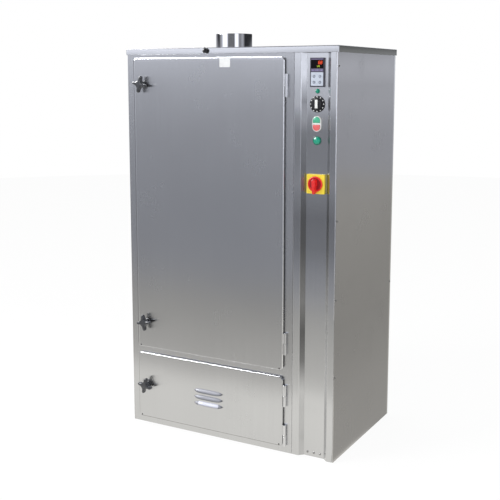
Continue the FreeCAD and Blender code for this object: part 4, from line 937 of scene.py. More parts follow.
def hood(steps=12):
    """The sheet of the lowest louvre's hood, from its upper edge out and down to its open lip."""
    bm = bmesh.new()
    upper, lower = louvre_edge(0, 1), louvre_edge(0, -1)
    rows = []
    for j in range(steps + 1):
        v = j / steps
        rows.append([bm.verts.new((a[0], FACE - PROUD * 0.97 * swell(u) * math.sin(v * math.pi / 2) ** 1.3,
                                   a[1] + (b[1] - a[1]) * v)) for u, a, b in zip(STATIONS, upper, lower)])
    for a, b in zip(rows, rows[1:]):
        for i in range(len(a) - 1):
            bm.faces.new((a[i], a[i + 1], b[i + 1], b[i]))
    holder = in_scene(to_mesh(bm, "hood"))
    wall = holder.modifiers.new("wall", "SOLIDIFY")
    wall.thickness = HOOD_SHEET
    wall.offset = -1
    return baked(holder)


# %% Repeat it with Geometry Nodes
SHAPE = "NodeSocketGeometry"


def copying_tree(name, inputs):
    """Starts a tree that makes copies of a mesh: one geometry in, further named inputs, one geometry out."""
    return new_group(name, [("Geometry", SHAPE, None)] + inputs, [("Geometry", SHAPE)], "GeometryNodeTree")


def finish_copies(tree, copies, finish, result):
    """Makes the copies real and gives them their finish."""
    real = add_node(tree, "GeometryNodeRealizeInstances", {0: copies.outputs[0]})
    dressed = add_node(tree, "GeometryNodeSetMaterial", {"Geometry": real.outputs[0],
                                                         "Material": finishes[finish]})
    tree.links.new(dressed.outputs[0], result.inputs[0])
    return tree


def repeat_tree(name, finish):
    """A tree that puts copies of a mesh on a straight row."""
    tree, given, result = copying_tree(name, [("Count", "NodeSocketInt", 3), ("Step", VECTOR, (0, 0, PITCH))])
    row = add_node(tree, "GeometryNodeMeshLine", {"Count": given.outputs["Count"],
                                                  "Offset": given.outputs["Step"]})
    copies = add_node(tree, "GeometryNodeInstanceOnPoints", {"Points": row.outputs[0],
                                                             "Instance": given.outputs["Geometry"]})
    return finish_copies(tree, copies, finish, result)


def run_tree(tree, mesh, **values):
    """Runs a tree on a mesh with its inputs set by identifier, and returns the plain result."""
    holder = bpy.data.objects.new("holder", mesh)
    modifier = holder.modifiers.new("nodes", "NODES")
    modifier.node_group = tree
    for item in tree.interface.items_tree:
        if item.in_out == "INPUT" and item.name in values:
            modifier[item.identifier] = values[item.name]
    bpy.context.scene.collection.objects.link(holder)
    return baked(holder)


hoods = run_tree(repeat_tree("row_of_copies", "stainless"), hood(), Count=LOUVRES, Step=(0.0, 0.0, PITCH))
add_piece("louvre_hoods", settle(hoods, 60), "lower_door_outer_pan", "hood_steel",
          replaces=False)
openings = [louvre_edge(i, -1) + louvre_edge(i, 1)[-2:0:-1] for i in range(LOUVRES)]
door_skin("lower_door_outer_pan", "lower_door_skin", "lower_steel", lower_holes + openings)
fill_holes_with_shade("lower_door_sealant", "lower_door_outer_pan", lower_holes)
print("hoods:", LOUVRES, "with", len(hoods.polygons), "faces")

# %% [markdown]
# ## The cover and the flue
# The cover is a shallow lid, folded down all round, ground the other way from the doors, which
# is why its lip shines brighter. The flue is a polished tube with a rolled rim that stands in a
# small welded bead.

# %% Fold the cover
FLUE_R, FLUE_BORE = 65 * MM, 63.5 * MM
flue_low, flue_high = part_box("flue_pipe")
flue_x, flue_y = (flue_low.x + flue_high.x) / 2, (flue_low.y + flue_high.y) / 2
lid = cover_high.z
bm = bmesh.new()
loop = round_box((cover_low.x, cover_high.x), (cover_low.y, cover_high.y), 3 * MM, 5)
cover_layers = edge_round(COVER_BEND, lid, -1)
cover_layers += [(0, cover_low.z + 0.4 * MM), (0.4 * MM, cover_low.z), (SHEET, cover_low.z),
                 (SHEET, lid - SHEET)]
rings = [[bm.verts.new((a, b, level)) for a, b in inset(loop, distance)] for distance, level in cover_layers]
skin(bm, rings)
flue_circle = circle(flue_x, flue_y, FLUE_R, 64)
holes = [[bm.verts.new((a, b, level)) for a, b in flue_circle] for level in (lid, lid - SHEET)]
skin(bm, holes)
fill_between(bm, [rings[0], holes[0]], (0, 0, 1))
fill_between(bm, [rings[-1], holes[1]], (0, 0, -1))
add_piece("folded_cover", settle(to_mesh(bm, "folded_cover")), "top_cover", "stainless_level")
print("cover folded")

# %% Turn the flue
top, base = flue_high.z, flue_low.z
bead = [(FLUE_R + 2.6 * MM, lid), (FLUE_R + 3 * MM, lid + 0.8 * MM), (FLUE_R + 2.2 * MM, lid + 1.9 * MM),
        (FLUE_R + 0.6 * MM, lid + 2.8 * MM), (FLUE_R, lid + 4 * MM)]
rim = [(FLUE_R, top - 0.7 * MM), (FLUE_R - 0.2 * MM, top - 0.2 * MM), (FLUE_R - 0.7 * MM, top),
       (FLUE_BORE + 0.2 * MM, top - 0.2 * MM), (FLUE_BORE, top - 0.7 * MM)]
profile = [(FLUE_BORE, base), (FLUE_R, base), (FLUE_R, lid)] + bead + rim + [(FLUE_BORE, base)]
flue = turned("flue_tube", profile, (flue_x, flue_y, 0), "z", 96)
add_piece("flue_tube", settle(flue, 50), "flue_pipe", "polished")
print("flue turned")

# %% [markdown]
# ## The control column
# One sheet folded six times: two flat lands, two slanted flanks and the recessed channel that
# shields the controls. Its bends are round, so the path is rounded first and then given its
# thickness.

# %% Round a path and give it a thickness
def rounded_path(points, radii, steps=5):
    """An open path whose corners are replaced by arcs of the given radii."""
    path = [Vector(points[0])]
    for before, corner, after, radius in zip(points, points[1:], points[2:], radii):
        a, b, c = Vector(before), Vector(corner), Vector(after)
        u, v = (a - b).normalized(), (c - b).normalized()
        half = u.angle(v) / 2
        reach = radius / math.tan(half)
        centre = b + (u + v).normalized() * (radius / math.sin(half))
        start, end = b + u * reach - centre, b + v * reach - centre
        sweep = start.angle_signed(end)
        for i in range(steps + 1):
            turned_by = -sweep * i / steps
            path.append(centre + Vector((start.x * math.cos(turned_by) - start.y * math.sin(turned_by),
                                         start.x * math.sin(turned_by) + start.y * math.cos(turned_by))))
    return path + [Vector(points[-1])]


def left_of(path, distance):
    """The path moved to its left."""
    out = []
    for i, point in enumerate(path):
        first = (path[i] - path[max(i - 1, 0)]) if i else (path[1] - path[0])
        second = (path[min(i + 1, len(path) - 1)] - path[i]) if i < len(path) - 1 else first
        n1, n2 = Vector((-first.y, first.x)).normalized(), Vector((-second.y, second.x)).normalized()
        out.append(point + (n1 + n2) * (distance / (1 + n1.dot(n2))))
    return out


# %% Fold the column
LAND, FLANK, RECESS, HEM = 25.5 * MM, 15.5 * MM, 15 * MM, 15 * MM
OUT, IN, CORNER = 3.0 * MM, 1.2 * MM, 5.5 * MM
left, front, right = column_low.x, column_low.y, column_high.x + SHEET
corners = [(left, front + HEM), (left, front), (left + LAND, front), (left + LAND + FLANK, front + RECESS),
           (right - LAND - FLANK, front + RECESS), (right - LAND, front), (column_high.x, front),
           (column_high.x, front + HEM)]
path = rounded_path(corners, [OUT, OUT, IN, IN, OUT, CORNER])
outline = path + left_of(path, SHEET)[::-1]
bm = bmesh.new()
rings = [[bm.verts.new((p.x, p.y, level)) for p in outline] for level in (column_low.z, column_high.z)]
skin(bm, rings)
for ring in rings:
    for i in range(len(path) - 1):
        j = len(outline) - 1 - i
        bm.faces.new((ring[i], ring[i + 1], ring[j - 1], ring[j]))
add_piece("folded_column", settle(to_mesh(bm, "folded_column")), "control_column", "column_steel")
RECESS_FACE = column_low.y + RECESS
print("column folded from", len(path), "points; recess face at", round(RECESS_FACE / MM, 2), "mm")

# %% [markdown]
# ## The star grips
# Four-lobed grips are moulded in one piece: concave flanks for the fingers, full round tips and
# a crowned face. The outline is drawn once from its arcs and stacked into layers that shrink
# towards the face.

# %% Draw the star
GRIP_R, TIP_R, HOLLOW_R, WAIST = 30 * MM, 4.6 * MM, 24 * MM, 14 * MM
GRIP_TURNS = {"upper": -12, "middle": 8, "lower": -12}
STAR_STEPS, SMOOTHINGS = 144, 2


def star_radius(angle):
    """The grip's radius at an angle from the middle of a lobe, up to 45 degrees."""
    tip_at, hollow_at = GRIP_R - TIP_R, WAIST + HOLLOW_R
    inside = (TIP_R ** 2 - (tip_at * math.sin(angle)) ** 2)
    rest = math.pi / 4 - abs(angle)
    hollow = hollow_at * math.cos(rest) - math.sqrt(max(HOLLOW_R ** 2 - (hollow_at * math.sin(rest)) ** 2, 0))
    hollow = min(hollow, GRIP_R)
    if inside > 0:
        return max(hollow, tip_at * math.cos(angle) + math.sqrt(inside))
    return hollow


def star_loop(turn_by):
    """The star as (radius, angle), with its inner corners smoothed."""
    steps = STAR_STEPS
    radii = [star_radius((i / steps * 4 % 1) * math.pi / 2 - math.pi / 4) for i in range(steps)]
    for _ in range(SMOOTHINGS):
        radii = [(radii[i - 1] + 2 * radii[i] + radii[(i + 1) % steps]) / 4 for i in range(steps)]
    return [(r, i * math.tau / steps + math.pi / 4 + math.radians(turn_by)) for i, r in enumerate(radii)]


# %% Mould the grips
STAR_DEEP, BALL_R, BALL_FLAT = 16 * MM, 11.9 * MM, 0.56


def star_grip(place):
    """One grip: the star, and the neck behind it with its ball."""
    node = f"{place}_latch_grip"
    low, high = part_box(node)
    x, z = middle_of(low, high)
    back, front = low.y + STAR_DEEP, low.y
    layers = ((0.45, back), (0.93, back), (0.985, back - 1.2 * MM), (1.0, back - 3 * MM), (1.0, front + 6 * MM),
              (0.975, front + 3.4 * MM), (0.92, front + 1.6 * MM), (0.82, front + 0.6 * MM),
              (0.6, front + 0.1 * MM), (0.3, front))
    loop = star_loop(GRIP_TURNS[place])
    bm = bmesh.new()
    rings = []
    for share, level in layers:
        rings.append([bm.verts.new((x + r * share * math.cos(a), level, z + r * share * math.sin(a)))
                      for r, a in loop])
    skin(bm, rings, caps=True)
    star = to_mesh(bm, "star")
    length = high.y - back
    ball = [(BALL_R * math.cos(a), -length * BALL_FLAT + BALL_R * math.sin(a) * BALL_FLAT)
            for a in [math.radians(d) for d in range(48, -53, -10)]]
    end = -length + 0.02 * MM
    profile = in_mm((0, -0.5), (8.0, -0.5)) + ball + [(7.4 * MM, end), (0, end)]
    neck = turned("neck", profile, (x, back, z))
    add_piece(f"{place}_star_grip", settle(joined([star, neck], "grip"), 50), node, "grip")


for place in GRIP_TURNS:
    star_grip(place)
print("grips moulded:", len(GRIP_TURNS))

# %% [markdown]
# ## Holes through the new sheets
# The damper's spindle runs through the cover's lip and the flue, and the timer's shaft through
# the column. A Boolean with a plain rod drills each.

# %% Drill a hole
SPINDLE_HOLE_R, SHAFT_HOLE_R = 4.6 * MM, 4 * MM
THROUGH_SHEET, THROUGH_FLUE = 12 * MM, 150 * MM


def drilled(name, centre, radius, length):
    """Cuts a rod that runs from front to back out of a finished piece's mesh."""
    thing = bpy.data.objects[name]
    tool = in_scene(turned("drill", bar_profile(radius, -length / 2, length / 2), centre, "y", 24), "drill")
    holder = in_scene(thing.data)
    cut = holder.modifiers.new("cut", "BOOLEAN")
    cut.operation = "DIFFERENCE"
    cut.solver = "EXACT"
    cut.object = tool
    thing.data = baked(holder)
    bpy.data.objects.remove(tool)
    thing.data = settle(thing.data)


spindle_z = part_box("damper_knob")[0].z + 9 * MM
timer_low, timer_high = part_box("timer_knob")
CONTROL_X, TIMER_Z = middle_of(timer_low, timer_high)
drilled("folded_cover", (flue_x, cover_low.y, spindle_z), SPINDLE_HOLE_R, THROUGH_SHEET)
drilled("flue_tube", (flue_x, flue_y, spindle_z), SPINDLE_HOLE_R, THROUGH_FLUE)
drilled("folded_column", (CONTROL_X, RECESS_FACE, TIMER_Z), SHAFT_HOLE_R, THROUGH_SHEET)
print("drilled the cover, the flue and the column")

# %% [markdown]
# ## The damper's knob
# A ball of glossy black plastic on the spindle, with a small nub that shows which way the blade
# stands. It is turned, because a real ball knob is too.

# %% Turn the ball knob
low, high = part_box("damper_knob")
ball_r = (high.x - low.x) / 2
round_part = [(ball_r * math.cos(a), 7.0 * MM + 6.99 * MM * math.sin(a))
              for a in [math.radians(d) for d in range(-55, 90, 9)]]
profile = in_mm((0, -0.01), (6.2, -0.01), (6.6, 0.8)) + round_part + in_mm((0, 13.99))
ball = turned("ball", profile, (flue_x, high.y, spindle_z), "y", 40)
nub = turned("nub", in_mm((0, 0), (1.9, 0), (1.9, 11), (1.5, 11.7), (0.8, 12), (0, 12)),
             (flue_x, (low.y + high.y) / 2, spindle_z), "z", 20)
add_piece("damper_ball_knob", settle(joined([ball, nub], "ball"), 60), "damper_knob", "black_plastic")
print("ball knob turned, radius", round(ball_r / MM, 1))

# %% [markdown]
# ## The controller
# A panel controller is a moulded bezel, flush glass over its display, a printed film with the
# keys below, and a box behind the panel. The digits are lit segments: each is a stretched
# hexagon, and a numeral is a choice out of seven.

# %% A thin plate with holes
def plate(name, loop, holes, front, back, edge=0.3 * MM):
    """A plate that stands proud of a panel, with its front edge rounded over."""
    bm = bmesh.new()
    layers = ((edge, front), (edge * 0.3, front + edge * 0.3), (0, front + edge), (0, back))
    rings = layered(bm, loop, layers)
    skin(bm, rings)
    close_with_holes(bm, rings, holes, front, back)
    return settle(to_mesh(bm, name), 40)


# %% Bezel, strips and keypad film
eased("controller_housing", 0.9, "bezel")
low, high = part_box("controller_housing")
HOUSING_FRONT = low.y
film_x = (low.x + 3.2 * MM, high.x - 3.2 * MM)
keys = {f"controller_key_{i}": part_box(f"controller_key_{i}") for i in range(1, 5)}
key_places = {name: middle_of(*box) for name, box in keys.items()}


def on_housing(name, mesh, finish):
    """Adds a thin piece to the controller's face."""
    add_piece(name, mesh, "controller_housing", finish, replaces=False)


key_holes = [circle(x, z, 4.9 * MM, 32) for x, z in key_places.values()]
film_loop = round_box(film_x, (low.z + 3.6 * MM, low.z + 47.4 * MM), 1.5 * MM, 4)
film = plate("film", film_loop, key_holes, HOUSING_FRONT - 0.35 * MM, HOUSING_FRONT + 0.1 * MM, 0.15 * MM)
on_housing("keypad_film", film, "keypad")
for name, z in (("bezel_strip", (low.z + 49.6 * MM, low.z + 58.6 * MM)),
                ("bezel_band", (high.z - 6.8 * MM, high.z - 2.6 * MM))):
    strip_loop = round_box(film_x, z, 0.8 * MM, 3)
    strip = plate(name, strip_loop, [], HOUSING_FRONT - 0.2 * MM, HOUSING_FRONT + 0.1 * MM, 0.1 * MM)
    on_housing(name, strip, "strip")
mark_z = (low.z + 53.2 * MM, low.z + 55.4 * MM)
mark_loops = [round_box((x, x + 5 * MM), mark_z, 0.9 * MM, 3)
              for x in [film_x[0] + step * MM for step in (4, 15, 21.5, 34.5)]]
row_of_marks = [plate("mark", loop, [], HOUSING_FRONT - 0.28 * MM, HOUSING_FRONT - 0.1 * MM, 0.05 * MM)
                for loop in mark_loops]
on_housing("strip_marks", joined(row_of_marks, "marks"), "lilac")
print("film:", [round(v / MM, 1) for v in film_x], "holes:", len(key_places))

# %% The four keys
for name, (x, z) in key_places.items():
    a, b = keys[name]
    proud = b.y - a.y
    dome = turned("key", [(0, 0), (4.5 * MM, 0), (4.5 * MM, 3.0 * MM), (4.2 * MM, proud - 0.35 * MM),
                          (3.0 * MM, proud - 0.12 * MM), (1.5 * MM, proud - 0.08 * MM),
                          (0, proud - 0.06 * MM)], (x, b.y, z), "y", 40)
    add_piece(f"{name}_cap", settle(dome, 30), name, "keypad")
    ring = turned("ring", [(2.2 * MM, 2.9 * MM), (3.9 * MM, 2.9 * MM), (3.9 * MM, proud - 0.05 * MM),
                           (3.5 * MM, proud), (2.5 * MM, proud), (2.2 * MM, proud - 0.05 * MM),
                           (2.2 * MM, 2.9 * MM)], (x, b.y, z), "y", 40)
    add_piece(f"{name}_ring", settle(ring, 30), name, "key_ring", replaces=False)
print("keys:", len(key_places))

# %% Light the digits
SEGMENTS = {"0": "abcdef", "1": "bc", "2": "abdeg", "3": "abcdg", "4": "bcfg", "5": "acdfg", "6": "acdefg",
            "7": "abc", "8": "abcdefg", "9": "abcdfg"}
LIT_DEEP, LEAN = 0.08 * MM, 0.08


def digits(text, right, middle, height, front, name):
    """Lit seven-segment numerals, right-aligned, leaning a little as displays do."""
    width, thick, pitch, half = height * 0.52, height * 0.135, height * 0.80, height / 2
    bars = {"a": (0, half, 1), "g": (0, 0, 1), "d": (0, -half, 1), "b": (width / 2, half / 2, 0),
            "c": (width / 2, -half / 2, 0), "f": (-width / 2, half / 2, 0), "e": (-width / 2, -half / 2, 0)}
    bm = bmesh.new()
    for place, numeral in enumerate(reversed(text)):
        cx = right - width / 2 - place * pitch
        for letter in SEGMENTS[numeral]:
            bx, bz, level = bars[letter]
            reach = (width if level else half) / 2 - thick * 0.12
            shape = [(-reach, 0), (-reach + thick / 2, -thick / 2), (reach - thick / 2, -thick / 2), (reach, 0),
                     (reach - thick / 2, thick / 2), (-reach + thick / 2, thick / 2)]
            if not level:
                shape = [(b, a) for a, b in shape][::-1]
            points = [(cx + bx + a + (bz + b) * LEAN, middle + bz + b) for a, b in shape]
            rings = [[bm.verts.new((a, y, b)) for a, b in points] for y in (front, front + LIT_DEEP)]
            skin(bm, rings, caps=True)
    return to_mesh(bm, name)


low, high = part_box("controller_window")
glass_loop = round_box((low.x + 0.1 * MM, high.x - 0.1 * MM), (low.z + 0.1 * MM, high.z - 0.1 * MM),
                       0.8 * MM, 3)
glass = plate("glass", glass_loop, [], low.y, high.y, 0.25 * MM)
add_piece("display_glass", glass, "controller_window", "window")
lit = low.y - 0.06 * MM
for name, text, in_by, down_by, tall, finish in (("red_numerals", "68", 4.6, 8.8, 9.5, "red_digits"),
                                                 ("green_numerals", "120", 13.5, 20.2, 5.2, "green_digits")):
    numerals = digits(text, high.x - in_by * MM, high.z - down_by * MM, tall * MM, lit, name)
    add_piece(name, numerals, "controller_window", finish, replaces=False)
print("digits lit on the glass")

# %% [markdown]
# ## Lamps and push buttons
# Each indicator is a turned bezel with a domed lens. The double button is a white racetrack
# bezel with two crowned half-round caps, green above red.

# %% Turn the two lamps
low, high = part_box("pilot_lamp")
x, z = middle_of(low, high)
back = high.y - RECESS_FACE
profile = [(0, -back), (6 * MM, -back)] + in_mm((6, 0), (8, 0), (8, 1.2), (7.5, 1.9), (6.4, 2), (5.5, 1.7),
                                                (5.5, 3.6), (5.0, 4.7), (3.8, 5.5), (2.0, 5.9), (0, 6))
pilot = turned("pilot", profile, (x, RECESS_FACE, z))
add_piece("pilot_lens", settle(pilot, 40), "pilot_lamp", "pilot")
low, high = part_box("green_lamp")
z = (low.z + high.z) / 2
back = high.y - RECESS_FACE
profile = [(0, -back), (11 * MM, -back)]
profile += in_mm((11, 0), (12.2, 0), (12.2, 2.4), (12, 2.6), (11.9, 3.6), (11.4, 5.0), (10.4, 6.3), (9.0, 7.3),
                 (7.2, 8.1), (5.0, 8.6), (2.5, 8.92), (0, 9))
lamp = turned("lamp", profile, (x, RECESS_FACE, z), "y", 56)
add_piece("lamp_lens", settle(lamp, 40), "green_lamp", "green")
profile = in_mm((12.2, 0), (15, 0), (15, 1.6), (14.4, 2.6), (13.4, 3), (12.6, 2.9), (12.2, 2.4), (12.2, 0))
ring = turned("ring", profile, (x, RECESS_FACE, z), "y", 56)
add_piece("lamp_ring", settle(ring, 40), "green_lamp", "lamp_ring", replaces=False)
print("lamps turned")

# %% Ease the button bezel and bridge it
eased("button_bezel", 0.9, "white", crease=40)
bezel_low, bezel_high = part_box("button_bezel")
BRIDGE = 3.0 * MM
middle = (bezel_low.z + bezel_high.z) / 2
bridge_loop = round_box((bezel_low.x + 1.8 * MM, bezel_high.x - 1.8 * MM),
                        (middle - BRIDGE + 0.3 * MM, middle + BRIDGE - 0.3 * MM), 0.8 * MM, 3)
bridge = plate("bridge", bridge_loop, [], bezel_low.y - 0.3 * MM, bezel_low.y + 3 * MM, 0.8 * MM)
add_piece("button_bridge", bridge, "button_bezel", "white", replaces=False)
print("bridge between the buttons:", round(2 * BRIDGE / MM, 1), "mm")

# %% Crown the two caps
CROWN = ((0.25, 0.0), (0.5, 0.15), (0.72, 0.5), (0.87, 1.05), (0.95, 1.7), (1.0, 2.7))


def half_round(low, high, side, steps=16):
    """The outline of a half racetrack, anticlockwise: round outside, straight at the bridge."""
    radius, cx = (high.x - low.x) / 2, (low.x + high.x) / 2
    flat = middle + side * BRIDGE
    cz = high.z - radius if side > 0 else low.z + radius
    arc = [(cx + radius * math.cos(a), cz + side * radius * math.sin(a))
           for a in [math.pi * i / steps for i in range(steps + 1)]]
    foot = [(cx - radius, flat + side * 2.2 * MM), (cx - radius + 0.65 * MM, flat + side * 0.65 * MM),
            (cx - radius + 2.2 * MM, flat), (cx + radius - 2.2 * MM, flat),
            (cx + radius - 0.65 * MM, flat + side * 0.65 * MM), (cx + radius, flat + side * 2.2 * MM)]
    return (arc + foot) if side > 0 else (arc + foot)[::-1]


for node, side, finish, slot in (("start_button", 1, "green_button", "green"),
                                 ("stop_button", -1, "red_button", "red")):
    low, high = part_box(node)
    loop = half_round(low, high, side)
    cx, cz = (low.x + high.x) / 2, middle + side * (BRIDGE + 8 * MM)
    bm = bmesh.new()
    rings = []
    for share, lift in CROWN:
        rings.append([bm.verts.new((cx + (a - cx) * share, low.y + lift * MM, cz + (b - cz) * share))
                      for a, b in loop])
    rings.append([bm.verts.new((a, high.y, b)) for a, b in loop])
    skin(bm, rings, caps=True)
    add_piece(f"{node}_cap", settle(to_mesh(bm, "cap"), 60), node, finish)
print("caps crowned")

# %% [markdown]
# ## The timer's knob
# A black dial with a white dot for each mark, a ribbed drum for the fingers and a bar with a
# white insert that points at the time. The dots repeat by a rule, so Geometry Nodes place them
# round the dial.

# %% Dots round a dial with Geometry Nodes
def ring_tree(name, finish):
    """A tree that sets copies of a mesh round the Y axis: Count copies at a Radius round a Centre."""
    tree, given, result = copying_tree(name, [("Count", "NodeSocketInt", 12), ("Radius", FLOAT, 0.02),
                                              ("Centre", VECTOR, (0, 0, 0))])
    circle_line = add_node(tree, "GeometryNodeMeshCircle", {"Vertices": given.outputs["Count"],
                                                            "Radius": given.outputs["Radius"]})
    upright = add_node(tree, "GeometryNodeTransform", {"Geometry": circle_line.outputs[0],
                                                       "Translation": given.outputs["Centre"],
                                                       "Rotation": (math.pi / 2, 0, 0)})
    copies = add_node(tree, "GeometryNodeInstanceOnPoints", {"Points": upright.outputs[0],
                                                             "Instance": given.outputs["Geometry"]})
    return finish_copies(tree, copies, finish, result)


# %% Dial, drum and pointer
RIB_STEPS, RIBS, DRUM_MM, RIB_DEEP_MM = 240, 30, 19.0, 0.75
NOSE_OUT = 10.5 * MM
back = RECESS_FACE - 0.3 * MM
centre = (CONTROL_X, back, TIMER_Z)
shaft = timer_high.y - back
profile = [(0, -shaft), (2.9 * MM, -shaft), (3 * MM, -shaft + 0.3 * MM)]
profile += in_mm((3, 0), (26.2, 0), (27, 0.5), (27, 1.6), (26.2, 2.6), (20.5, 3.6), (19.6, 4.0), (0, 4.0))
skirt = turned("skirt", profile, centre, "y", 72)
ribbed = []
for i in range(RIB_STEPS):
    a = i * math.tau / RIB_STEPS
    ribbed.append(((DRUM_MM - RIB_DEEP_MM * (0.5 - 0.5 * math.cos(RIBS * a)) ** 1.5) * MM, a))
bm = bmesh.new()
rings = [[bm.verts.new((CONTROL_X + (r - d) * math.cos(a), back - lift, TIMER_Z + (r - d) * math.sin(a)))
          for r, a in ribbed]
         for d, lift in [(0, 3.9 * MM), (0, 6.7 * MM)] + in_mm((0.4, 7.8), (1.4, 8.4), (3, 8.5))]
skin(bm, rings, caps=True)
drum = to_mesh(bm, "drum")
nose = back - NOSE_OUT
bar_loop = round_box((CONTROL_X - 5.6 * MM, CONTROL_X + 5.6 * MM),
                     (TIMER_Z - 18 * MM, TIMER_Z + 18 * MM), 2 * MM, 4)
bar = stacked("bar", bar_loop, [(1.1 * MM, nose), (0.35 * MM, nose + 0.3 * MM), (0, nose + 1.1 * MM),
                                (0, back - 7.5 * MM)])
knob = joined([skirt, drum, bar], "knob")
add_piece("timer_dial_knob", settle(knob, 40), "timer_knob", "black_plastic")
insert_loop = round_box((CONTROL_X - 4.8 * MM, CONTROL_X + 4.8 * MM),
                        (TIMER_Z - 13.4 * MM, TIMER_Z + 14.6 * MM), 1 * MM, 4)
insert = stacked("insert", insert_loop, [(0.3 * MM, nose - 0.3 * MM), (0, nose), (0, nose + 1 * MM)])
add_piece("timer_pointer", settle(insert, 40), "timer_knob", "white", replaces=False)
dot = turned("dot", in_mm((0, 0), (1.8, 0), (1.8, 0.75), (1.5, 0.9), (0, 0.9)), (0, 0, 0), "y", 16)
dots = run_tree(ring_tree("dial_dots", "white"), dot, Count=12, Radius=23.4 * MM,
                Centre=(CONTROL_X, back - 2.5 * MM, TIMER_Z))
add_piece("timer_dots", settle(dots, 40), "timer_knob", "white", replaces=False)
print("dial dots:", len(dots.polygons), "faces")

# %% [markdown]
# ## The main switch
# A yellow plate and a red rotary handle, as an emergency-off main switch has. The handle is a
# dished ring with a tapered grip across it.

# %% Plate and handle
eased("switch_plate", 1.2, "yellow", crease=40)
low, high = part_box("switch_handle")
switch_z = low.z + 32.5 * MM
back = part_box("switch_plate")[0].y - 0.3 * MM
centre = (CONTROL_X, back, switch_z)
shaft = high.y - back
profile = [(0, -shaft), (3.8 * MM, -shaft), (4 * MM, -shaft + 0.3 * MM)]
profile += in_mm((4, 0), (25.2, 0), (26, 0.8), (26, 3.4), (25.4, 4.5), (24.2, 5), (22.2, 4.9), (21.2, 4.3),
                 (20.4, 2.2), (19.8, 1.9), (0, 1.9))
dish = turned("dish", profile, centre, "y", 72)


def grip_loop(half_top, half_tip, top, tip, steps=8):
    """A tapered outline with round ends, wide at the top."""
    loop = []
    for cz, radius, start in ((tip + half_tip, half_tip, 180), (top - half_top, half_top, 0)):
        for i in range(steps + 1):
            a = math.radians(start + 180 * i / steps)
            loop.append((CONTROL_X + radius * math.cos(a), switch_z + cz + radius * math.sin(a)))
    return loop


handle_layers = [(2.6 * MM, low.y), (1.5 * MM, low.y + 0.35 * MM), (0.75 * MM, low.y + 1.1 * MM),
                 (0.4 * MM, low.y + 2.2 * MM), (0.0, back - 1.7 * MM)]
handle = stacked("handle", grip_loop(7.4 * MM, 3.7 * MM, 17.4 * MM, -32.4 * MM), handle_layers)
add_piece("red_handle", settle(joined([dish, handle], "handle"), 50), "switch_handle", "red")
# A thin disc on the dish's floor is the handle's red painted darker: painted shade in the dish.
profile = in_mm((8.2, 1.85), (19.7, 1.85), (19.7, 1.98), (8.2, 1.98), (8.2, 1.85))
shade_disc = turned("shade_disc", profile, centre, "y", 72)
add_piece("handle_recess", settle(shade_disc, 40), "switch_handle", "red_in_painted_shade", replaces=False)
print("switch handle stands", round((back - low.y) / MM, 1), "mm off the plate")

# %% [markdown]
# ## Rivets
# Blind rivets hold the side sheet and the foot of the column. All heads are alike: a low dome
# with the stump of its mandrel in the middle, so Geometry Nodes set one head on each place and
# turn it outwards.

# %% A tree that sets heads on points
def rivet_tree(name, finish):
    """A tree that sets a head on each vertex, turned to the vertex's outward direction."""
    tree, given, result = copying_tree(name, [("Head", "NodeSocketObject", None), ("Scale", FLOAT, 1.0)])
    head = add_node(tree, "GeometryNodeObjectInfo", {"Object": given.outputs["Head"]})
    outward = add_node(tree, "GeometryNodeInputNamedAttribute", {"Name": "outward"}, data_type="FLOAT_VECTOR")
    facing = add_node(tree, "FunctionNodeAlignRotationToVector", {"Vector": outward.outputs[0]}, axis="Z")
    copies = add_node(tree, "GeometryNodeInstanceOnPoints", {
        "Points": given.outputs["Geometry"], "Instance": head.outputs["Geometry"],
        "Rotation": facing.outputs[0], "Scale": given.outputs["Scale"]})
    return finish_copies(tree, copies, finish, result)


# %% Find the rivets' places
HEAD_PROUD = 1.6 * MM


def linked_to(vert):
    """The vertices that edges join to this one, itself among them."""
    group, stack = {vert}, [vert]
    while stack:
        for edge in stack.pop().link_edges:
            for other in edge.verts:
                if other not in group:
                    group.add(other)
                    stack.append(other)
    return group


def rivet_places():
    """Each solid of the rivet node gives a place: the middle of its head's base, and its direction."""
    bm = bmesh.new()
    bm.from_mesh(nodes["panel_rivets"].data)
    bmesh.ops.remove_doubles(bm, verts=bm.verts, dist=CAD_MERGE)
    seen, places = set(), []
    for vert in bm.verts:
        if vert in seen:
            continue
        group = linked_to(vert)
        seen |= group
        low = Vector([min(v.co[k] for v in group) for k in range(3)])
        high = Vector([max(v.co[k] for v in group) for k in range(3)])
        middle = (low + high) / 2
        if high.x > cad_high.x - 3 * MM:
            places.append(((high.x - HEAD_PROUD, middle.y, middle.z), (1, 0, 0)))
        else:
            places.append(((middle.x, low.y + HEAD_PROUD, middle.z), (0, -1, 0)))
    bm.free()
    return places


# %% Set the rivet heads
places = rivet_places()
points = bpy.data.meshes.new("rivet_points")
points.from_pydata([p for p, _ in places], [], [])
attribute = points.attributes.new("outward", "FLOAT_VECTOR", "POINT")
for i, (_, way) in enumerate(places):
    attribute.data[i].vector = way
profile = in_mm((0, -3.4), (2, -3.4), (2, 0), (4, 0), (3.9, 0.55), (3.4, 1.05), (2.5, 1.45), (1.3, 1.6),
                (1.1, 1.15), (0.9, 1.05), (0, 1.05))
head = in_scene(turned("head", profile, (0, 0, 0), "z", 20), "head")
# The heads get the darker rivet steel, whose colour is painted shade.
rivets = run_tree(rivet_tree("rivet_heads", "rivet_steel_painted_dark"), points, Head=head, Scale=1.0)
bpy.data.objects.remove(head)
add_piece("rivet_heads", settle(rivets, 50), "panel_rivets", "rivet_steel_painted_dark")
print("rivets:", len(places))

# %% [markdown]
# ## Grids and the gland
# The grids are bent rods with a row of thinner wires welded across, so the wires come from the
# same row tree as the louvres. The gland is the moulded inlet of the mains lead, with its hexagon.

# %% Wire grids
FRAME_R, WIRE_R, WIRES, ROUND_STEPS = 3 * MM, 2 * MM, 13, 12


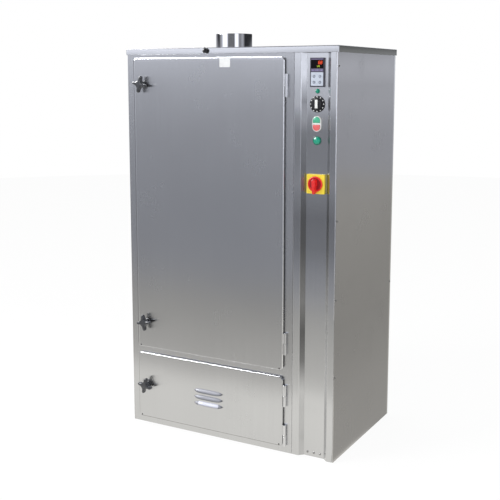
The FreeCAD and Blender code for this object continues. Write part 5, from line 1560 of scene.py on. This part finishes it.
def rod_frame(x, y, z, radius, corner):
    """A round rod bent into a rectangle with soft corners and welded shut."""
    loop = round_box((x[0] + radius, x[1] - radius), (y[0] + radius, y[1] - radius), corner, 6)
    turns = [k * math.tau / ROUND_STEPS for k in range(ROUND_STEPS)]
    bm = bmesh.new()
    rings = []
    for i, (px, py) in enumerate(loop):
        along = (Vector(loop[(i + 1) % len(loop)]) - Vector(loop[i - 1])).normalized()
        side = Vector((along.y, -along.x))
        rings.append([bm.verts.new((px + side.x * radius * math.cos(a), py + side.y * radius * math.cos(a),
                                    z + radius * math.sin(a))) for a in turns])
    skin(bm, rings, wrap=True)
    return to_mesh(bm, "rod")


low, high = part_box("wire_grids")
step = (high.x - low.x - 4 * FRAME_R) / (WIRES + 1)
half = (high.y - low.y) / 2 - FRAME_R
wire_row = repeat_tree("row_of_wires", "lining")
grids = []
for middle in (low.z + FRAME_R, high.z - FRAME_R):
    grids.append(rod_frame((low.x, high.x), (low.y, high.y), middle, FRAME_R, 12 * MM))
    wire = turned("wire", bar_profile(WIRE_R, -half, half), (low.x + 2 * FRAME_R + step, 0, middle), "y", 12)
    grids.append(run_tree(wire_row, wire, Count=WIRES, Step=(step, 0.0, 0.0)))
add_piece("rod_grids", settle(joined(grids, "grids"), 50), "wire_grids", "lining")
print("grids:", len(grids) // 2, "with", WIRES, "wires each")

# %% The mains gland
low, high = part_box("cable_gland")
x, z = middle_of(low, high)
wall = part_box("back_panel")[1].y
GLAND_R, DEEP, OUTSIDE = (high.x - low.x) / 2, high.y - low.y, high.y - wall
GLAND_BORE, BODY_R, dome_r = 6.2 * MM, 10 * MM, GLAND_R * 0.78


def hex_body(y0, y1, across):
    """A hexagon with its corners eased at both ends."""
    bm = bmesh.new()
    rings = []
    for shrink, level in ((0.92, y0), (1.0, y0 + 0.9 * MM), (1.0, y1 - 0.9 * MM), (0.92, y1)):
        radius = across * shrink
        rings.append([bm.verts.new((x + radius * math.cos(a), level, z + radius * math.sin(a)))
                      for a in [math.radians(60 * i) for i in range(6)]])
    skin(bm, rings, caps=True)
    return to_mesh(bm, "hex")


nut = hex_body(wall, wall + 6 * MM, GLAND_R)
inner = DEEP - 0.02 * MM
dome = turned("dome", [(GLAND_BORE, inner), (GLAND_BORE, 0.6 * MM), (6.8 * MM, 0), (dome_r - 3 * MM, 0),
                       (dome_r - 0.8 * MM, 2.2 * MM), (dome_r, 6 * MM), (dome_r, OUTSIDE), (BODY_R, OUTSIDE),
                       (BODY_R, inner), (GLAND_BORE, inner)], (x, high.y, z), "y", 40)
lock = turned("lock", [(BODY_R, 0), (GLAND_R - 0.5 * MM, 0), (GLAND_R - 0.5 * MM, 5.8 * MM), (BODY_R, 5.8 * MM),
                       (BODY_R, 0)], (x, wall - SHEET, z), "y", 6)
add_piece("mains_gland", settle(joined([nut, dome, lock], "gland"), 40), "cable_gland", "black_plastic")
print("gland radius", round(GLAND_R / MM, 1))

# %% [markdown]
# ## The blank label
# A real cabinet carries a printed film at the top of its door. Here that place has a plain white
# film with round corners.

# %% Lay the label on the door
label_loop = round_box((-21 * MM, 21 * MM), (main_high.z - 34 * MM, main_high.z - 1 * MM - 2 * MM), 2 * MM, 4)
label = plate("label", label_loop, [], FACE - 0.25 * MM, FACE + 0.05 * MM, 0.1 * MM)
add_piece("door_label", label, "main_door_outer_pan", "label", replaces=False)
print("label laid")

# %% [markdown]
# ## Measure and finish
# The model's box is measured against the solids' box, and how far each side grows past it is printed.
# The visual model has to stay inside the solids' box.

# %% Measure how far the model grows past the solids' box
new_low, new_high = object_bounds()
grows = [round((v - c) / MM, 3) for v, c in zip([*new_low, *new_high], [*cad_low, *cad_high])]
print("grows by (mm):", grows)
